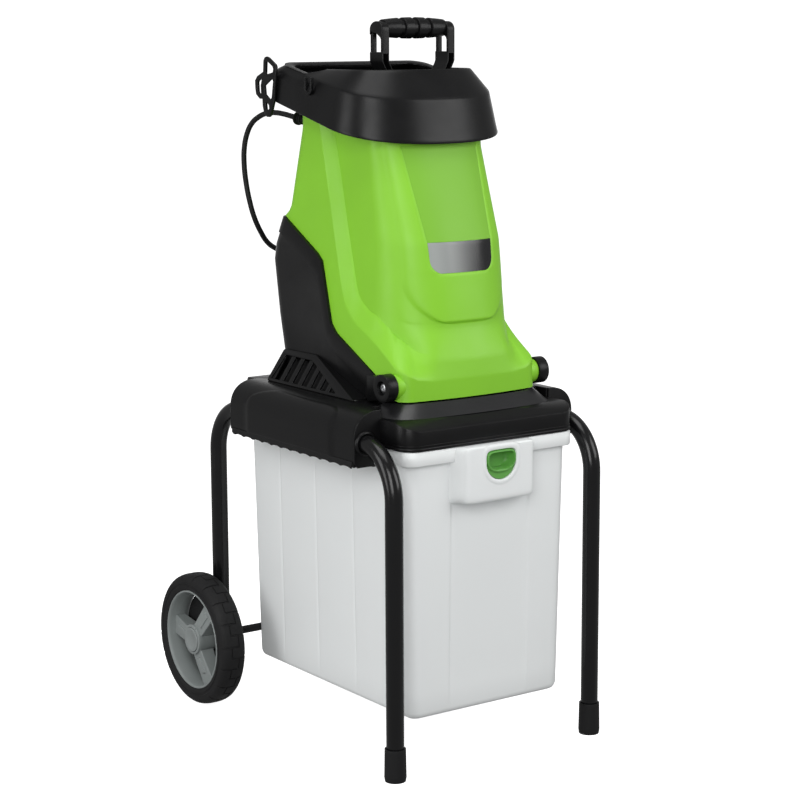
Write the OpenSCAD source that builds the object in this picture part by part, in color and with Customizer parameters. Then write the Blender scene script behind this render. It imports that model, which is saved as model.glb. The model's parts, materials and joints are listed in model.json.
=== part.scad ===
// Garden shredder: a tilting hopper on a motor housing, over a sliding chip box, on two tube hoops
// The front is -Y and the floor is Z = 0

/* [Tube frame] */
// Outer diameter of the hoop tubes
tube_d = 25; // [22:0.5:27]
// Wall of the hoop tubes
tube_wall = 1.5; // [1.2:0.1:2.5]
// Distance between the left and right hoops, centre to centre
frame_track = 345; // [342:1:365]
// Distance between the front and rear legs, centre to centre
wheelbase = 461; // [448:1:500]
// Height of the hoops' level run above the floor
hoop_z = 459; // [440:1:500]
// Bend radius of the hoops, at the tube's centre
hoop_bend_r = 70; // [55:1:80]
// Height of the rubber feet
foot_h = 46; // [30:1:60]
// Rubber round the leg
foot_wall = 3; // [2:0.1:4]
// Rubber under the leg
foot_sole = 6; // [3:0.5:12]

/* [Wheels] */
// Outer diameter of the tyres
wheel_d = 200; // [184:1:230]
// Width of the tyres
wheel_w = 40; // [34:1:50]
// Diameter of the rim under the tyre
rim_d = 150; // [136:1:160]
// Diameter of the hub's middle
hub_d = 46; // [40:1:56]
// Diameter of the axle
axle_d = 12; // [9:0.5:13]
// Number of spokes in a wheel
spoke_count = 3; // [3:1:5]
// Number of tread notches on each shoulder of a tyre
tread_count = 18; // [12:1:22]

/* [Collection box] */
// Height of the box's floor above the ground
box_floor_z = 70; // [50:1:100]
// Width of the box over its walls, just under the rim
box_top_w = 276; // [266:1:280]
// Wall of the box
box_wall = 3; // [2:0.25:4]
// Front wall of the box ahead of mid-wheelbase, at the rim
box_front = 219; // [210:1:221]
// Rear wall of the box behind mid-wheelbase, at the rim
box_rear = 198; // [185:1:205]
// How much each wall draws in from the rim to the floor
box_draft = 11; // [6:0.5:16]
// How far the rim stands out from the walls
box_rim_out = 7; // [5:0.5:8]
// Height of the rim band
box_rim_h = 20; // [16:1:26]
// Width of the block that holds the lock, at its front
lock_block_w = 118; // [90:1:140]
// How far that block stands out from the front wall
lock_block_out = 24; // [20:0.5:25]
// Height of that block
lock_block_h = 80; // [70:1:100]
// Width of the lock
lock_w = 48; // [36:1:56]
// Height of the lock
lock_h = 38; // [30:1:42]
// Upward travel of the lock
lock_travel = 6; // [4:0.5:7]

/* [Deck] */
// Wall of the deck and of the flanks
deck_wall = 3.5; // [2.5:0.25:4.5]
// Height of the deck's top above the hoops' level run
deck_rise = 44; // [38:1:52]
// Drop of the flanks below the hoops' level run
flank_drop = 32; // [24:1:40]
// Height of the lip's front face
lip_h = 30; // [24:1:34]

/* [Motor housing] */
// Width of the motor housing at its foot
housing_w = 236; // [228:1:244]
// Wall of the motor housing
housing_wall = 3; // [2:0.25:4]
// Width of the raised border along the seam
border_w = 24; // [14:1:30]
// Height of the vent grilles above the deck
grille_h = 48; // [36:1:56]
// How far the grilles' foot stands out from the housing
grille_out = 24; // [16:1:26]
// Number of slots in a grille
slot_count = 7; // [4:1:9]
// Height of the hinge axis above the deck
hinge_h = 27.3; // [26:0.1:30]
// Distance of the hinge axis ahead of mid-wheelbase
hinge_front = 154.4; // [152:0.2:157]
// Radius of the hinge bosses
boss_r = 19; // [15:0.5:20]
// Length of a hinge boss
boss_l = 16; // [12:0.5:20]
// Radius of the hinge bolts
hinge_bolt_r = 5; // [3:0.25:6]

/* [Hopper] */
// How far the hopper's skirt stands out past the housing on each side
skirt_over = 1.5; // [0.5:0.25:3.5]
// Front of the skirt ahead of mid-wheelbase
skirt_front = 183; // [180:0.5:186]
// Height of the skirt's upright band above the deck
skirt_h = 40; // [30:1:50]
// Width of the body's tower at its foot
tower_low_w = 212; // [200:1:220]
// Width of the body's tower at the hood
tower_top_w = 186; // [176:1:196]
// Height of the hood's lower front edge above the deck
hopper_h = 352; // [335:1:380]
// Wall of the hopper body and hood
hopper_wall = 3; // [2:0.25:4]
// Width of the raised front panel
panel_w = 172; // [140:1:176]
// How far the front panel is raised
panel_rise = 4; // [2:0.25:6]
// Height of the front panel's foot above the deck
panel_foot = 108; // [100:1:120]
// Width of the hood at its lower edge
hood_w = 274; // [262:1:290]
// Front of the hood ahead of mid-wheelbase
hood_front = 118; // [114:1:126]
// Height of the hood's skirt
hood_skirt_h = 58; // [48:1:66]
// Height of the hood's sloped visor above its skirt
visor_h = 44; // [34:1:54]

/* [Feed and pusher] */
// Width of the feed chute at the cutter
chute_w = 116; // [90:1:124]
// Depth of the feed chute at the cutter
chute_d = 48; // [40:1:52]
// Width of the pusher's handle
handle_w = 126; // [112:1:140]
// Height of the handle above the hood's visor
handle_h = 72; // [60:1:90]
// Diameter of the grip
grip_d = 30; // [24:1:34]

/* [Motor and cutter] */
// Radius of the blade disc
disc_r = 92; // [80:1:92]
// Thickness of the blade disc
disc_t = 7; // [5:0.5:9]
// Radius of the motor's stator
stator_r = 44; // [36:1:45]
// Height of the stator's stack
stator_h = 64; // [50:1:70]
// Diameter of the motor's shaft
shaft_d = 14; // [10:0.5:16]

/* [Cord] */
// Diameter of the power cord
cord_d = 8; // [7:0.25:9]

/* [Hidden] */
$fn = 64;
eps = 0.01;

// Clearances
push_fit = 0.05;
run_fit = 0.05;
slide_gap = 0.4;
part_gap = 0.4;

// Places along the machine, from mid-wheelbase
leg_x = frame_track / 2;
tube_r = tube_d / 2;
foot_r = tube_r + foot_wall;
wheel_r = wheel_d / 2;
mid_y = (foot_r - wheel_r) / 2;
flank_half = wheelbase / 2 - hoop_bend_r;

// Widths and heights
skirt_w = housing_w + 2 * skirt_over;
axle_z = wheel_r;
deck_top_z = hoop_z + deck_rise;
lip_drop = 7;
lip_z = hoop_z - lip_drop;
flank_z = hoop_z - flank_drop;
lip_gap = 1;
box_rim_z = lip_z - lip_gap;

// Colours
black = [0.11, 0.11, 0.12];
green = [0.52, 0.78, 0.2];
lock_green = [0.35, 0.7, 0.27];
grey = [0.5, 0.52, 0.52];
steel = [0.75, 0.76, 0.78];
copper = [0.72, 0.42, 0.2];
milky = [0.9, 0.92, 0.92];

module place() translate([0, mid_y, 0]) children();
module on_deck() translate([0, mid_y, deck_top_z]) children();
module sides() for (side = [-1, 1]) scale_x(side) children();
module scale_x(side) mirror([side < 0 ? 1 : 0, 0, 0]) children();
module along_x(x0, l, r, hole = 0) translate([x0, 0, 0]) rotate([0, 90, 0])
  difference() {
    cylinder(h = l, r = r);
    if (hole > 0)
      translate([0, 0, -1])
        cylinder(h = l + 2, r = hole);
  }

// Shape helpers
function lerp(a, b, t) = a + (b - a) * t;
function share(v, lo, hi) = max(0, min(1, (v - lo) / (hi - lo)));
function cap_rise(u, n) = 1 - pow(max(0, 1 - pow(min(1, u), n)), 1 / n);
function mirrored(half) = concat(half,
  [for (i = [len(half) - 2 : -1 : 1]) [-half[i].x, half[i].y, half[i].z]]);
function flat(ring) = [for (p = ring) [p.x, p.y]];
function ring_faces(n, j0, j1) = [for (i = [0 : n - 1])
  let (a = j0 * n + i, b = j0 * n + (i + 1) % n, c = j1 * n + (i + 1) % n, d = j1 * n + i)
  each [[a, c, b], [a, d, c]]];
// Closed skin through rings of equal length, the last of which returns to the first
module ring_skin(rings) {
  n = len(rings[0]);
  m = len(rings);
  polyhedron(
    points = [for (r = rings) each r],
    faces = [for (j = [0 : m - 1]) each ring_faces(n, j, (j + 1) % m)]);
}
// Skin through rings with a fan over each end
module capped_skin(rings) {
  n = len(rings[0]);
  m = len(rings);
  polyhedron(
    points = [for (r = rings) each r],
    faces = concat(
      [for (j = [0 : m - 2]) each ring_faces(n, j, j + 1)],
      [for (i = [1 : n - 2]) [0, i, i + 1]],
      [for (i = [1 : n - 2]) [(m - 1) * n, (m - 1) * n + i + 1, (m - 1) * n + i]]));
}
module rounded_plan(x, y0, y1, r) {
  translate([-x, y0 + r])
    square([2 * x, y1 - y0 - 2 * r]);
  translate([-x + r, y0])
    square([2 * x - 2 * r, y1 - y0]);
  for (sx = [-1, 1], y = [y0 + r, y1 - r])
    translate([sx * (x - r), y])
      circle(r = r);
}

// Tube frame
hoop_top = wheelbase / 2 - hoop_bend_r;
rear_leg_z = axle_z - 2 * axle_d;
frame_screw_y = flank_half * 0.72;
frame_screw_r = 2.5;
frame_screw_head_r = 5;
frame_screw_head_h = 4;
screw_gap = 0.1;
screw_end_gap = 1.5;

module hoop_bend(r) rotate([0, -90, 0])
  rotate_extrude(angle = 90)
    translate([hoop_bend_r, 0])
      circle(r = r);
module hoop_path(r, foot_end, rear_end, over) {
  leg_top = hoop_z - hoop_bend_r;
  translate([0, -wheelbase / 2, foot_end])
    cylinder(h = leg_top - foot_end, r = r);
  translate([0, wheelbase / 2, rear_end])
    cylinder(h = leg_top - rear_end, r = r);
  for (end = [-1, 1])
    translate([0, end * hoop_top, leg_top])
      mirror([0, end < 0 ? 1 : 0, 0])
        hoop_bend(r);
  translate([0, -hoop_top, hoop_z])
    rotate([-90, 0, 0])
      cylinder(h = 2 * hoop_top, r = r);
}
module side_frame() color(black) place() translate([leg_x, 0, 0])
  difference() {
    hoop_path(tube_r, foot_sole, rear_leg_z, 0);
    hoop_path(tube_r - tube_wall, foot_sole - eps, rear_leg_z - eps, eps);
    translate([0, wheelbase / 2, axle_z])
      rotate([0, 90, 0])
        cylinder(h = 2 * tube_d, r = axle_d / 2 + push_fit, center = true);
    for (end = [-1, 1])
      translate([0, end * frame_screw_y, hoop_z - tube_d])
        cylinder(h = 2 * tube_d, r = frame_screw_r + screw_gap);
  }
module side_frame_left() scale_x(-1) side_frame();
module side_frame_right() side_frame();

module front_foot() color(black) place() translate([leg_x, -wheelbase / 2, 0])
  difference() {
    union() {
      cylinder(h = foot_sole, r1 = foot_r - 1, r2 = foot_r);
      translate([0, 0, foot_sole])
        cylinder(h = foot_h - foot_sole, r1 = foot_r, r2 = foot_r - foot_wall * 0.25);
    }
    translate([0, 0, foot_sole])
      cylinder(h = foot_h, r = tube_r + push_fit);
  }
module front_foot_left() scale_x(-1) front_foot();
module front_foot_right() front_foot();

plug_h = 12;
plug_flange = 3;
module leg_plugs() color(black) place() sides()
  translate([leg_x, wheelbase / 2, rear_leg_z]) {
    cylinder(h = plug_h, r = tube_r - tube_wall - push_fit);
    translate([0, 0, -plug_flange])
      cylinder(h = plug_flange, r1 = tube_r - 1, r2 = tube_r);
  }

// Screws go up through the hoops into the flanks' bosses
frame_screw_l = tube_d + 12;
module frame_screws() color(steel) place() sides() for (end = [-1, 1])
  translate([leg_x, end * frame_screw_y, hoop_z - tube_r - frame_screw_head_h]) {
    cylinder(h = frame_screw_head_h, r = frame_screw_head_r);
    translate([0, 0, frame_screw_head_h])
      cylinder(h = frame_screw_l, r = frame_screw_r);
  }

// Wheels and axle
wheel_in_x = leg_x + tube_r + 3;
wheel_out_x = wheel_in_x + wheel_w;
spacer_gap = 0.3;
hub_in = 2;
cap_recess = 8;
cap_t = 3;
retainer_t = 3;
axle_half = wheel_out_x - cap_recess + retainer_t;
hub_bore_r = axle_d / 2 + run_fit;
rim_wall = 3.5;
rim_edge = 3;
bead = 4;

module axle() color(black) place() translate([0, wheelbase / 2, axle_z])
  along_x(-axle_half, 2 * axle_half, axle_d / 2);
module axle_spacers() color(steel) place() sides() translate([0, wheelbase / 2, axle_z])
  along_x(leg_x + tube_r + spacer_gap, wheel_in_x - leg_x - tube_r - 2 * spacer_gap, axle_d / 2 + 4,
    axle_d / 2 + push_fit);
module axle_retainers() color(steel) place() sides() translate([0, wheelbase / 2, axle_z])
  along_x(wheel_out_x - cap_recess + spacer_gap, retainer_t - spacer_gap, axle_d / 2 + 4,
    axle_d / 2 + push_fit);

// Section of the hub in radius and width, with a dished barrel
hub_r = hub_d / 2;
rim_r = rim_d / 2;
spoke_t = 9;
spoke_root_w = hub_d * 0.62;
spoke_tip_w = hub_d * 0.86;
spoke_rib_w = 5;
spoke_rib_h = 3;
spoke_turn = 8;
spoke_z = wheel_w - rim_edge - spoke_t - 6;
module wheel_frame() place() translate([wheel_in_x, wheelbase / 2, axle_z])
  rotate([0, 90, 0]) children();
module spoke() {
  tip = rim_r - rim_wall + 1;
  translate([0, 0, spoke_z])
    linear_extrude(spoke_t)
      polygon([[hub_r * 0.6, -spoke_root_w / 2], [tip, -spoke_tip_w / 2], [tip, spoke_tip_w / 2],
        [hub_r * 0.6, spoke_root_w / 2]]);
  translate([hub_r * 0.7, -spoke_rib_w / 2, spoke_z])
    cube([(rim_r - hub_r) * 0.7, spoke_rib_w, spoke_t + spoke_rib_h]);
}
module wheel_hub() color(grey) wheel_frame()
  difference() {
    union() {
      rotate_extrude()
        polygon([[rim_r - rim_wall, rim_edge], [rim_r - rim_wall, wheel_w - rim_edge],
          [rim_r, wheel_w - rim_edge], [rim_r, wheel_w - rim_edge - bead], [rim_r, rim_edge]]);
      translate([0, 0, hub_in])
        cylinder(h = wheel_w - hub_in - 1, r = hub_r);
      for (k = [0 : spoke_count - 1])
        rotate([0, 0, spoke_turn + 180 + 360 / spoke_count * k])
          spoke();
    }
    translate([0, 0, -1])
      cylinder(h = wheel_w + 2, r = hub_bore_r);
    translate([0, 0, wheel_w - cap_recess])
      cylinder(h = cap_recess + 1, r = hub_r - 4);
  }
module wheel_hub_left() scale_x(-1) wheel_hub();
module wheel_hub_right() wheel_hub();

// Tyre with a rounded crown and notches cut in both shoulders
tyre_shoulder = 7;
notch_w = 4;
notch_deep = 5;
module wheel_tyre() color(black) wheel_frame()
  difference() {
    rotate_extrude($fn = 96)
      polygon([[rim_r + push_fit, 2], [rim_r + 6, 0], [wheel_r - tyre_shoulder, 0],
        [wheel_r - 2, tyre_shoulder * 0.7], [wheel_r, wheel_w * 0.3],
        [wheel_r, wheel_w * 0.7], [wheel_r - 2, wheel_w - tyre_shoulder * 0.7],
        [wheel_r - tyre_shoulder, wheel_w], [rim_r + 6, wheel_w], [rim_r + push_fit, wheel_w - 2]]);
    for (k = [0 : tread_count - 1], face = [0, 1])
      rotate([0, 0, 360 / tread_count * (k + face / 2)])
        translate([wheel_r - notch_deep * 1.6, -notch_w / 2, face == 0 ? -1 : wheel_w - wheel_w * 0.34])
          cube([notch_deep * 3, notch_w, wheel_w * 0.34 + 1]);
  }
module wheel_tyre_left() scale_x(-1) wheel_tyre();
module wheel_tyre_right() wheel_tyre();
module wheel_cap() color(grey) wheel_frame()
  translate([0, 0, wheel_w - cap_t])
    cylinder(h = cap_t, r = hub_r - 4 - push_fit);
module wheel_cap_left() scale_x(-1) wheel_cap();
module wheel_cap_right() wheel_cap();

// Collection box
box_half = box_top_w / 2;
rim_half = box_half + box_rim_out;
box_corner = 18;
rim_lip = box_wall;
box_wall_top = box_rim_z - box_rim_h + box_wall;
box_h = box_rim_z - box_floor_z;
lock_z = box_rim_z - 10 - lock_h;
block_z = box_rim_z - lock_block_h;
block_face = box_front + lock_block_out;
block_skin = 5;
block_slant = 13;
lock_flange = 4;
tongue_w = 20;
tongue_t = 5;

// Plan of the box at a share of its height, inset by a wall
module box_plan(t, inset) {
  draw = box_draft * (1 - t);
  rounded_plan(box_half - draw - inset, -box_front + draw + inset, box_rear - draw - inset,
    box_corner - inset);
}
module box_form(z0, z1, inset) hull() {
  translate([0, 0, z0])
    linear_extrude(eps)
      box_plan(share(z0, box_floor_z, box_rim_z), inset);
  translate([0, 0, z1 - eps])
    linear_extrude(eps)
      box_plan(share(z1, box_floor_z, box_rim_z), inset);
}
// D-shaped outline of the lock, flat at its top
module lock_outline(grow) {
  r = lock_w / 2 + grow;
  translate([-r, lock_w / 2])
    square([2 * r, lock_h - lock_w / 2 + grow]);
  translate([0, lock_w / 2])
    circle(r = r);
}
module lock_frame(y) translate([0, y, lock_z]) rotate([90, 0, 0]) children();
module lock_block() translate([0, 0, block_z])
  linear_extrude(lock_block_h)
    polygon([[-lock_block_w / 2 - block_slant, -box_front + box_draft + 1],
      [-lock_block_w / 2 - block_slant, -box_front - 2],
      [-lock_block_w / 2, -block_face], [lock_block_w / 2, -block_face],
      [lock_block_w / 2 + block_slant, -box_front - 2],
      [lock_block_w / 2 + block_slant, -box_front + box_draft + 1]]);
module lock_cavity() {
  lock_frame(-block_face + block_skin)
    linear_extrude(block_skin + 1)
      lock_outline(slide_gap);
  // the same outline, lifted by the travel, so that the lock can rise
  translate([0, 0, lock_travel])
    lock_frame(-block_face + block_skin)
      linear_extrude(block_skin + 1)
        lock_outline(slide_gap);
  inner_h = lock_h + 2 * lock_flange + lock_travel + 2 * slide_gap;
  translate([-lock_w / 2 - lock_flange - slide_gap, -block_face + block_skin,
    lock_z - lock_flange - slide_gap])
    cube([lock_w + 2 * lock_flange + 2 * slide_gap, lock_block_out + box_draft, inner_h]);
  translate([-tongue_w / 2 - slide_gap, -box_front - slide_gap, lock_z])
    cube([tongue_w + 2 * slide_gap, tongue_t + 2 * slide_gap, lock_block_h]);
}
side_rib_count = 3;
side_rib_w = 10;
side_rib_out = 2;
module collection_box() color(milky) place()
  difference() {
    union() {
      box_form(box_floor_z, box_rim_z - eps, 0);
      translate([0, 0, box_rim_z - box_rim_h])
        linear_extrude(box_rim_h)
          rounded_plan(rim_half, -box_front - box_rim_out, box_rear, box_corner);
      lock_block();
    }
    box_form(box_floor_z + box_wall, box_rim_z + 1, box_wall);
    lock_cavity();
  }
module box_lock() color(lock_green) place() {
  difference() {
    union() {
      lock_frame(-block_face + block_skin + 2)
        linear_extrude(block_skin + 2)
          lock_outline(0);
      translate([-lock_w / 2 - lock_flange, -block_face + block_skin + slide_gap, lock_z - lock_flange])
        cube([lock_w + 2 * lock_flange, lock_block_out - block_skin - slide_gap, lock_h + 2 * lock_flange]);
      translate([-tongue_w / 2, -box_front - 2, lock_z])
        cube([tongue_w, tongue_t + 2, box_rim_z - lock_z]);
    }
    // finger recess
    lock_frame(-box_front - 3)
      linear_extrude(lock_block_out + 2)
        lock_outline(-3);
  }
}

// Deck
motor_y = 42;
channel_gap = 1.5;
channel_in = leg_x - tube_r - channel_gap;
channel_out = leg_x + tube_r + channel_gap;
flank_x = channel_out + deck_wall;
deck_half = rim_half + 3;
deck_front = box_front + box_rim_out;
deck_rear = box_rear + part_gap + deck_wall + 2;
plateau_front = hinge_front - boss_r + 1;
deck_corner = 26;
front_deck_z = lip_z + lip_h + 8;
opening_x = disc_r;
opening_front = hinge_front - 24;
opening_rear = motor_y + disc_r - 6;
rail_gap = 0.4;
rail_t = 6;
shoulder_steps = 10;
rib_count = 12;
rib_t = 3;
plateau_ribs = 4;
rear_chamfer = 22;
opening_corner = 30;

// Section of the right flank, across the machine
module flank_section() {
  outer_low = deck_top_z - (flank_x - deck_half) * 0.9;
  polygon(concat(
    [[deck_half - deck_wall, deck_top_z], [deck_half - deck_wall, lip_z], [channel_in - deck_wall, lip_z],
     [channel_in - deck_wall, flank_z], [flank_x, flank_z]],
    [for (k = [0 : shoulder_steps])
      let (a = 90 * k / shoulder_steps)
      [deck_half + (flank_x - deck_half) * cos(a), outer_low + (deck_top_z - outer_low) * sin(a)]]));
}
module flanks() sides() {
  difference() {
    translate([0, flank_half, 0])
      rotate([90, 0, 0])
        linear_extrude(2 * flank_half)
          flank_section();
    // channel for the hoop, open below and at both ends
    translate([channel_in, -flank_half - 1, flank_z - 1])
      cube([channel_out - channel_in, 2 * flank_half + 2, hoop_z - flank_z + 1]);
    translate([leg_x, -flank_half - 1, hoop_z])
      rotate([-90, 0, 0])
        cylinder(h = 2 * flank_half + 2, r = tube_r + channel_gap);
    for (end = [-1, 1])
      translate([leg_x, end * frame_screw_y, hoop_z])
        cylinder(h = frame_screw_l - tube_r + screw_end_gap, r = frame_screw_r + screw_gap);
  }
  // rail that carries the box's rim
  translate([box_half + rail_gap + 2, -flank_half, box_rim_z - box_rim_h - rail_gap - rail_t])
    cube([channel_in - box_half - rail_gap - 2, 2 * flank_half, rail_t]);
  translate([channel_in - deck_wall, -flank_half, box_rim_z - box_rim_h - rail_gap - rail_t])
    cube([deck_wall, 2 * flank_half, deck_top_z - box_rim_z + box_rim_h]);
  // saddle ribs that press on the hoop from above
  for (k = [0 : rib_count - 1])
    translate([0, lerp(-flank_half + rib_t, flank_half - rib_t, k / (rib_count - 1)), 0])
      saddle_rib();
}
module saddle_rib() difference() {
  translate([channel_in - eps, -rib_t / 2, flank_z])
    cube([channel_out - channel_in + 2 * eps, rib_t, hoop_z - flank_z + tube_r]);
  translate([leg_x, -rib_t, hoop_z])
    rotate([-90, 0, 0])
      cylinder(h = 2 * rib_t, r = tube_r + push_fit);
  translate([leg_x - tube_r - push_fit, -rib_t, flank_z - 1])
    cube([tube_d + 2 * push_fit, 2 * rib_t, hoop_z - flank_z + 1]);
}
// Side profile of the middle of the deck, as [y, z]
module deck_profile() polygon([
  [-deck_front, lip_z], [-deck_front, lip_z + lip_h - 4], [-deck_front + 4, lip_z + lip_h],
  [-skirt_front - 16, front_deck_z], [-plateau_front, front_deck_z],
  [-plateau_front, deck_top_z], [deck_rear - rear_chamfer, deck_top_z], [deck_rear, deck_top_z - 20],
  [deck_rear, lip_z]]);
module deck_body() intersection() {
  translate([0, 0, lip_z])
    linear_extrude(deck_top_z - lip_z)
      rounded_plan(deck_half, -deck_front, deck_rear, deck_corner);
  translate([-deck_half - 1, 0, 0])
    rotate([90, 0, 90])
      linear_extrude(2 * deck_half + 2)
        deck_profile();
}
// Sloped plinth under the front of the hopper
plinth_top = 5;
plinth_out = 19;
function plinth_half(out) = concat(
  [for (k = [0 : 10])
    let (p = skirt_point(sin(85 * k / 10), out))
    [p.x, p.y, 0]],
  [[skirt_w / 2 + out, -plateau_front + 2, 0], [0, -plateau_front + 2, 0]]);
function plinth_ring(out, z) = [for (p = mirrored(plinth_half(out))) [p.x, p.y, z]];
module plinth() translate([0, 0, deck_top_z]) difference() {
  capped_skin([plinth_ring(plinth_out, front_deck_z - deck_top_z - 2), plinth_ring(2.5, plinth_top)]);
  translate([0, 0, front_deck_z - deck_top_z])
    linear_extrude(deck_top_z)
      polygon(flat(plinth_ring(0.8, 0)));
}
module opening_plan(grow) rounded_plan(opening_x + grow, -opening_front - grow, opening_rear + grow,
  opening_corner + grow);
// Hollow under the plateau, round the opening's rim, the screw bosses and the stiffening ribs
module plateau_hollow() translate([0, 0, lip_z]) difference() {
  linear_extrude(deck_top_z - lip_z - deck_wall)
    rounded_plan(deck_half - deck_wall, -plateau_front + deck_wall, deck_rear - rear_chamfer - deck_wall,
      deck_corner - deck_wall);
  linear_extrude(deck_top_z)
    opening_plan(deck_wall);
  for (p = housing_screw_places())
    translate([p.x, p.y, 0])
      cylinder(h = deck_top_z, r = housing_screw_head_r + deck_wall);
  for (k = [0 : plateau_ribs - 1])
    translate([-deck_half, lerp(-opening_front + opening_corner, opening_rear, k / (plateau_ribs - 1)), 0])
      cube([2 * deck_half, rib_t, deck_top_z]);
}
module deck() color(black) place() difference() {
  union() {
    flanks();
    deck_body();
    plinth();
    // rear apron that stops the box
    translate([-deck_half + deck_corner, deck_rear - deck_wall, flank_z])
      cube([2 * (deck_half - deck_corner), deck_wall, lip_z - flank_z + deck_wall]);
  }
  // hollow behind the lip
  translate([0, 0, lip_z - 1])
    linear_extrude(lip_h - deck_wall)
      rounded_plan(deck_half - deck_wall, -deck_front + deck_wall, deck_rear - deck_wall,
        deck_corner - deck_wall);
  plateau_hollow();
  // discharge from the cutter into the box
  translate([0, 0, lip_z])
    linear_extrude(deck_top_z - lip_z + 1)
      opening_plan(0);
  for (p = housing_screw_places())
    translate([p.x, p.y, lip_z])
      cylinder(h = deck_top_z, r = housing_screw_r + screw_gap);
}

// Screws through the deck into the housing's foot
housing_screw_r = 2;
housing_screw_head_r = 4;
housing_screw_head_h = 3;
housing_screw_bite = 8;
housing_screw_in = 9;
housing_screw_front = 44;
housing_screw_rear = 25;
function housing_screw_places() = [
  for (sx = [-1, 1], y = [-housing_front + housing_screw_front, housing_rear[0].y - housing_screw_rear])
    [sx * (housing_w / 2 - housing_screw_in), y]];
module housing_screws() color(steel) place() for (p = housing_screw_places())
  translate([p.x, p.y, lip_z + lip_h - deck_wall - 1]) {
    translate([0, 0, -housing_screw_head_h])
      cylinder(h = housing_screw_head_h, r = housing_screw_head_r);
    cylinder(h = deck_top_z - lip_z - lip_h + deck_wall + 1 + housing_screw_bite, r = housing_screw_r);
  }

// Interlock switch above the lock's tongue
interlock_w = 24;
interlock_d = 12;
interlock_h = 14;
module interlock_switch() color(black) place()
  translate([0, -box_front + tongue_t / 2, 0]) {
    top_z = lip_z + lip_h - deck_wall - 1;
    translate([-interlock_w / 2, -interlock_d / 2 + 4, top_z - interlock_h])
      cube([interlock_w, interlock_d, interlock_h]);
    translate([0, 4, box_rim_z + lock_travel + 1])
      cylinder(h = top_z - box_rim_z - lock_travel - 1 - interlock_h + eps, r = 2);
  }

// Hopper body: a tower on a wider skirt, with a sloped band between them
tower_foot = 102;
tower_mid = 219;
tower_front = [[tower_foot, 168], [tower_mid, 150], [hopper_h, 102]];
tower_depth = [[tower_foot, 88], [hopper_h, 45]];
tower_n = 2.3;
skirt_n = 7;
skirt_bow = 10;
skirt_top_w = 207;
rear_corner = 25;
body_rear = [[241, 151], [249, 140], [258, 134], [hopper_h + 18, 109]];
// Edges of the sloped band on the side, as [height, y]
band_rear = [[60, -133], [93, -49], [114, -9], [129, 2], [235, 27], [371, 50]];
band_front = [[92, -151], [104, -117], [128, -54], [140, -38], [236, -1], [363, 24]];
panel_corner = 60;
panel_bevel = 4;
seat_over = 12;
hood_slope = 0.24;
skirt_low = 7;
panel_n = 4;
corner_n = 7;

function tower_half(h) = lerp(tower_low_w, tower_top_w, share(h, tower_foot, hopper_h)) / 2;
function skirt_half(h) = lerp(skirt_w, skirt_top_w, share(h, skirt_low, hopper_h + 20)) / 2;
// Point of the skirt's plan at a share u of its half width, grown by out
function skirt_point(u, out) =
  let (depth = skirt_front - tower_front[0].y + tower_depth[0].y)
  [u * (skirt_w / 2 + out),
   -skirt_front - out + skirt_bow * u * u + (depth - skirt_bow) * cap_rise(u, skirt_n)];
function panel_half(h) =
  let (rise = share(h, panel_foot, panel_foot + panel_corner), drop = panel_corner * (1 - rise))
  panel_w / 2 - panel_corner + sqrt(max(0, panel_corner * panel_corner - drop * drop));
function band_share(y, h) = max(share(y, lookup(h, band_front), lookup(h, band_rear)),
  1 - share(h, skirt_h, tower_foot + 3));
// Half outline of the body at a height above the deck, from the front middle to the rear middle
function body_half(h, inset) =
  let (
    wt = tower_half(h) - inset,
    ws = skirt_half(h) - inset,
    ft = -lookup(h, tower_front) + inset,
    fs = -skirt_front + inset,
    yc = ft + lookup(h, tower_depth) - inset,
    yr = lookup(h, body_rear) - inset,
    rr = rear_corner - inset,
    b0 = 1 - share(h, skirt_h, tower_foot + 3),
    pu = max(panel_half(h), panel_w / 2 - panel_corner),
    raised = inset > 0 ? 0 : panel_rise * share(h, panel_foot, panel_foot + panel_bevel),
    a0 = asin(pow(pu / wt, tower_n / 2)),
    xs = concat([for (k = [0 : panel_n]) (pu - panel_bevel) * k / panel_n], [pu],
      [for (k = [1 : corner_n]) wt * pow(sin(lerp(a0, 90, k / corner_n)), 2 / tower_n)]),
    y1 = max(yc + 2, lookup(h, band_front)),
    y2 = max(y1 + 2, lookup(h, band_rear)),
    ye = yr - rr)
  concat(
    [for (k = [0 : len(xs) - 1])
      let (
        u = min(1, xs[k] / wt),
        ty = ft + (yc - ft) * cap_rise(u, tower_n) - (k <= panel_n ? raised : 0),
        sy = fs + skirt_bow * u * u + (yc - fs - skirt_bow) * cap_rise(u, skirt_n),
        b = max(b0, share(ty, lookup(h, band_front), lookup(h, band_rear))))
      [lerp(xs[k], u * ws, b), lerp(ty, sy, b), h]],
    [for (y = [y1, y2, (y2 + ye) / 2, ye]) [lerp(wt, ws, band_share(y, h)), y, h]],
    [for (a = [30, 60, 90]) [ws - rr + rr * cos(a), ye + rr * sin(a), h]],
    [[0, yr, h]]);
function seat_height(y) = hopper_h + seat_over + hood_slope * (y + hood_front);
function body_ring(h, inset) = mirrored(body_half(h, inset));
function body_top(inset) = [for (p = body_ring(hopper_h + 10, inset)) [p.x, p.y, seat_height(p.y)]];
body_levels = [skirt_low, 24, skirt_h, 52, 64, 78, 92, tower_foot, panel_foot,
  panel_foot + panel_bevel, panel_foot + 9, panel_foot + 16, panel_foot + 26, panel_foot + 40,
  panel_foot + panel_corner, 195, tower_mid, 241, 249, 258, 300, hopper_h - 2];
body_inner_levels = [hopper_h - 2, 258, 241, panel_foot + panel_corner, tower_foot, skirt_h, skirt_low];
module body_shell() ring_skin(concat(
  [for (h = body_levels) body_ring(h, 0)],
  [body_top(0), body_top(hopper_wall)],
  [for (h = body_inner_levels) body_ring(h, hopper_wall)]));

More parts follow.
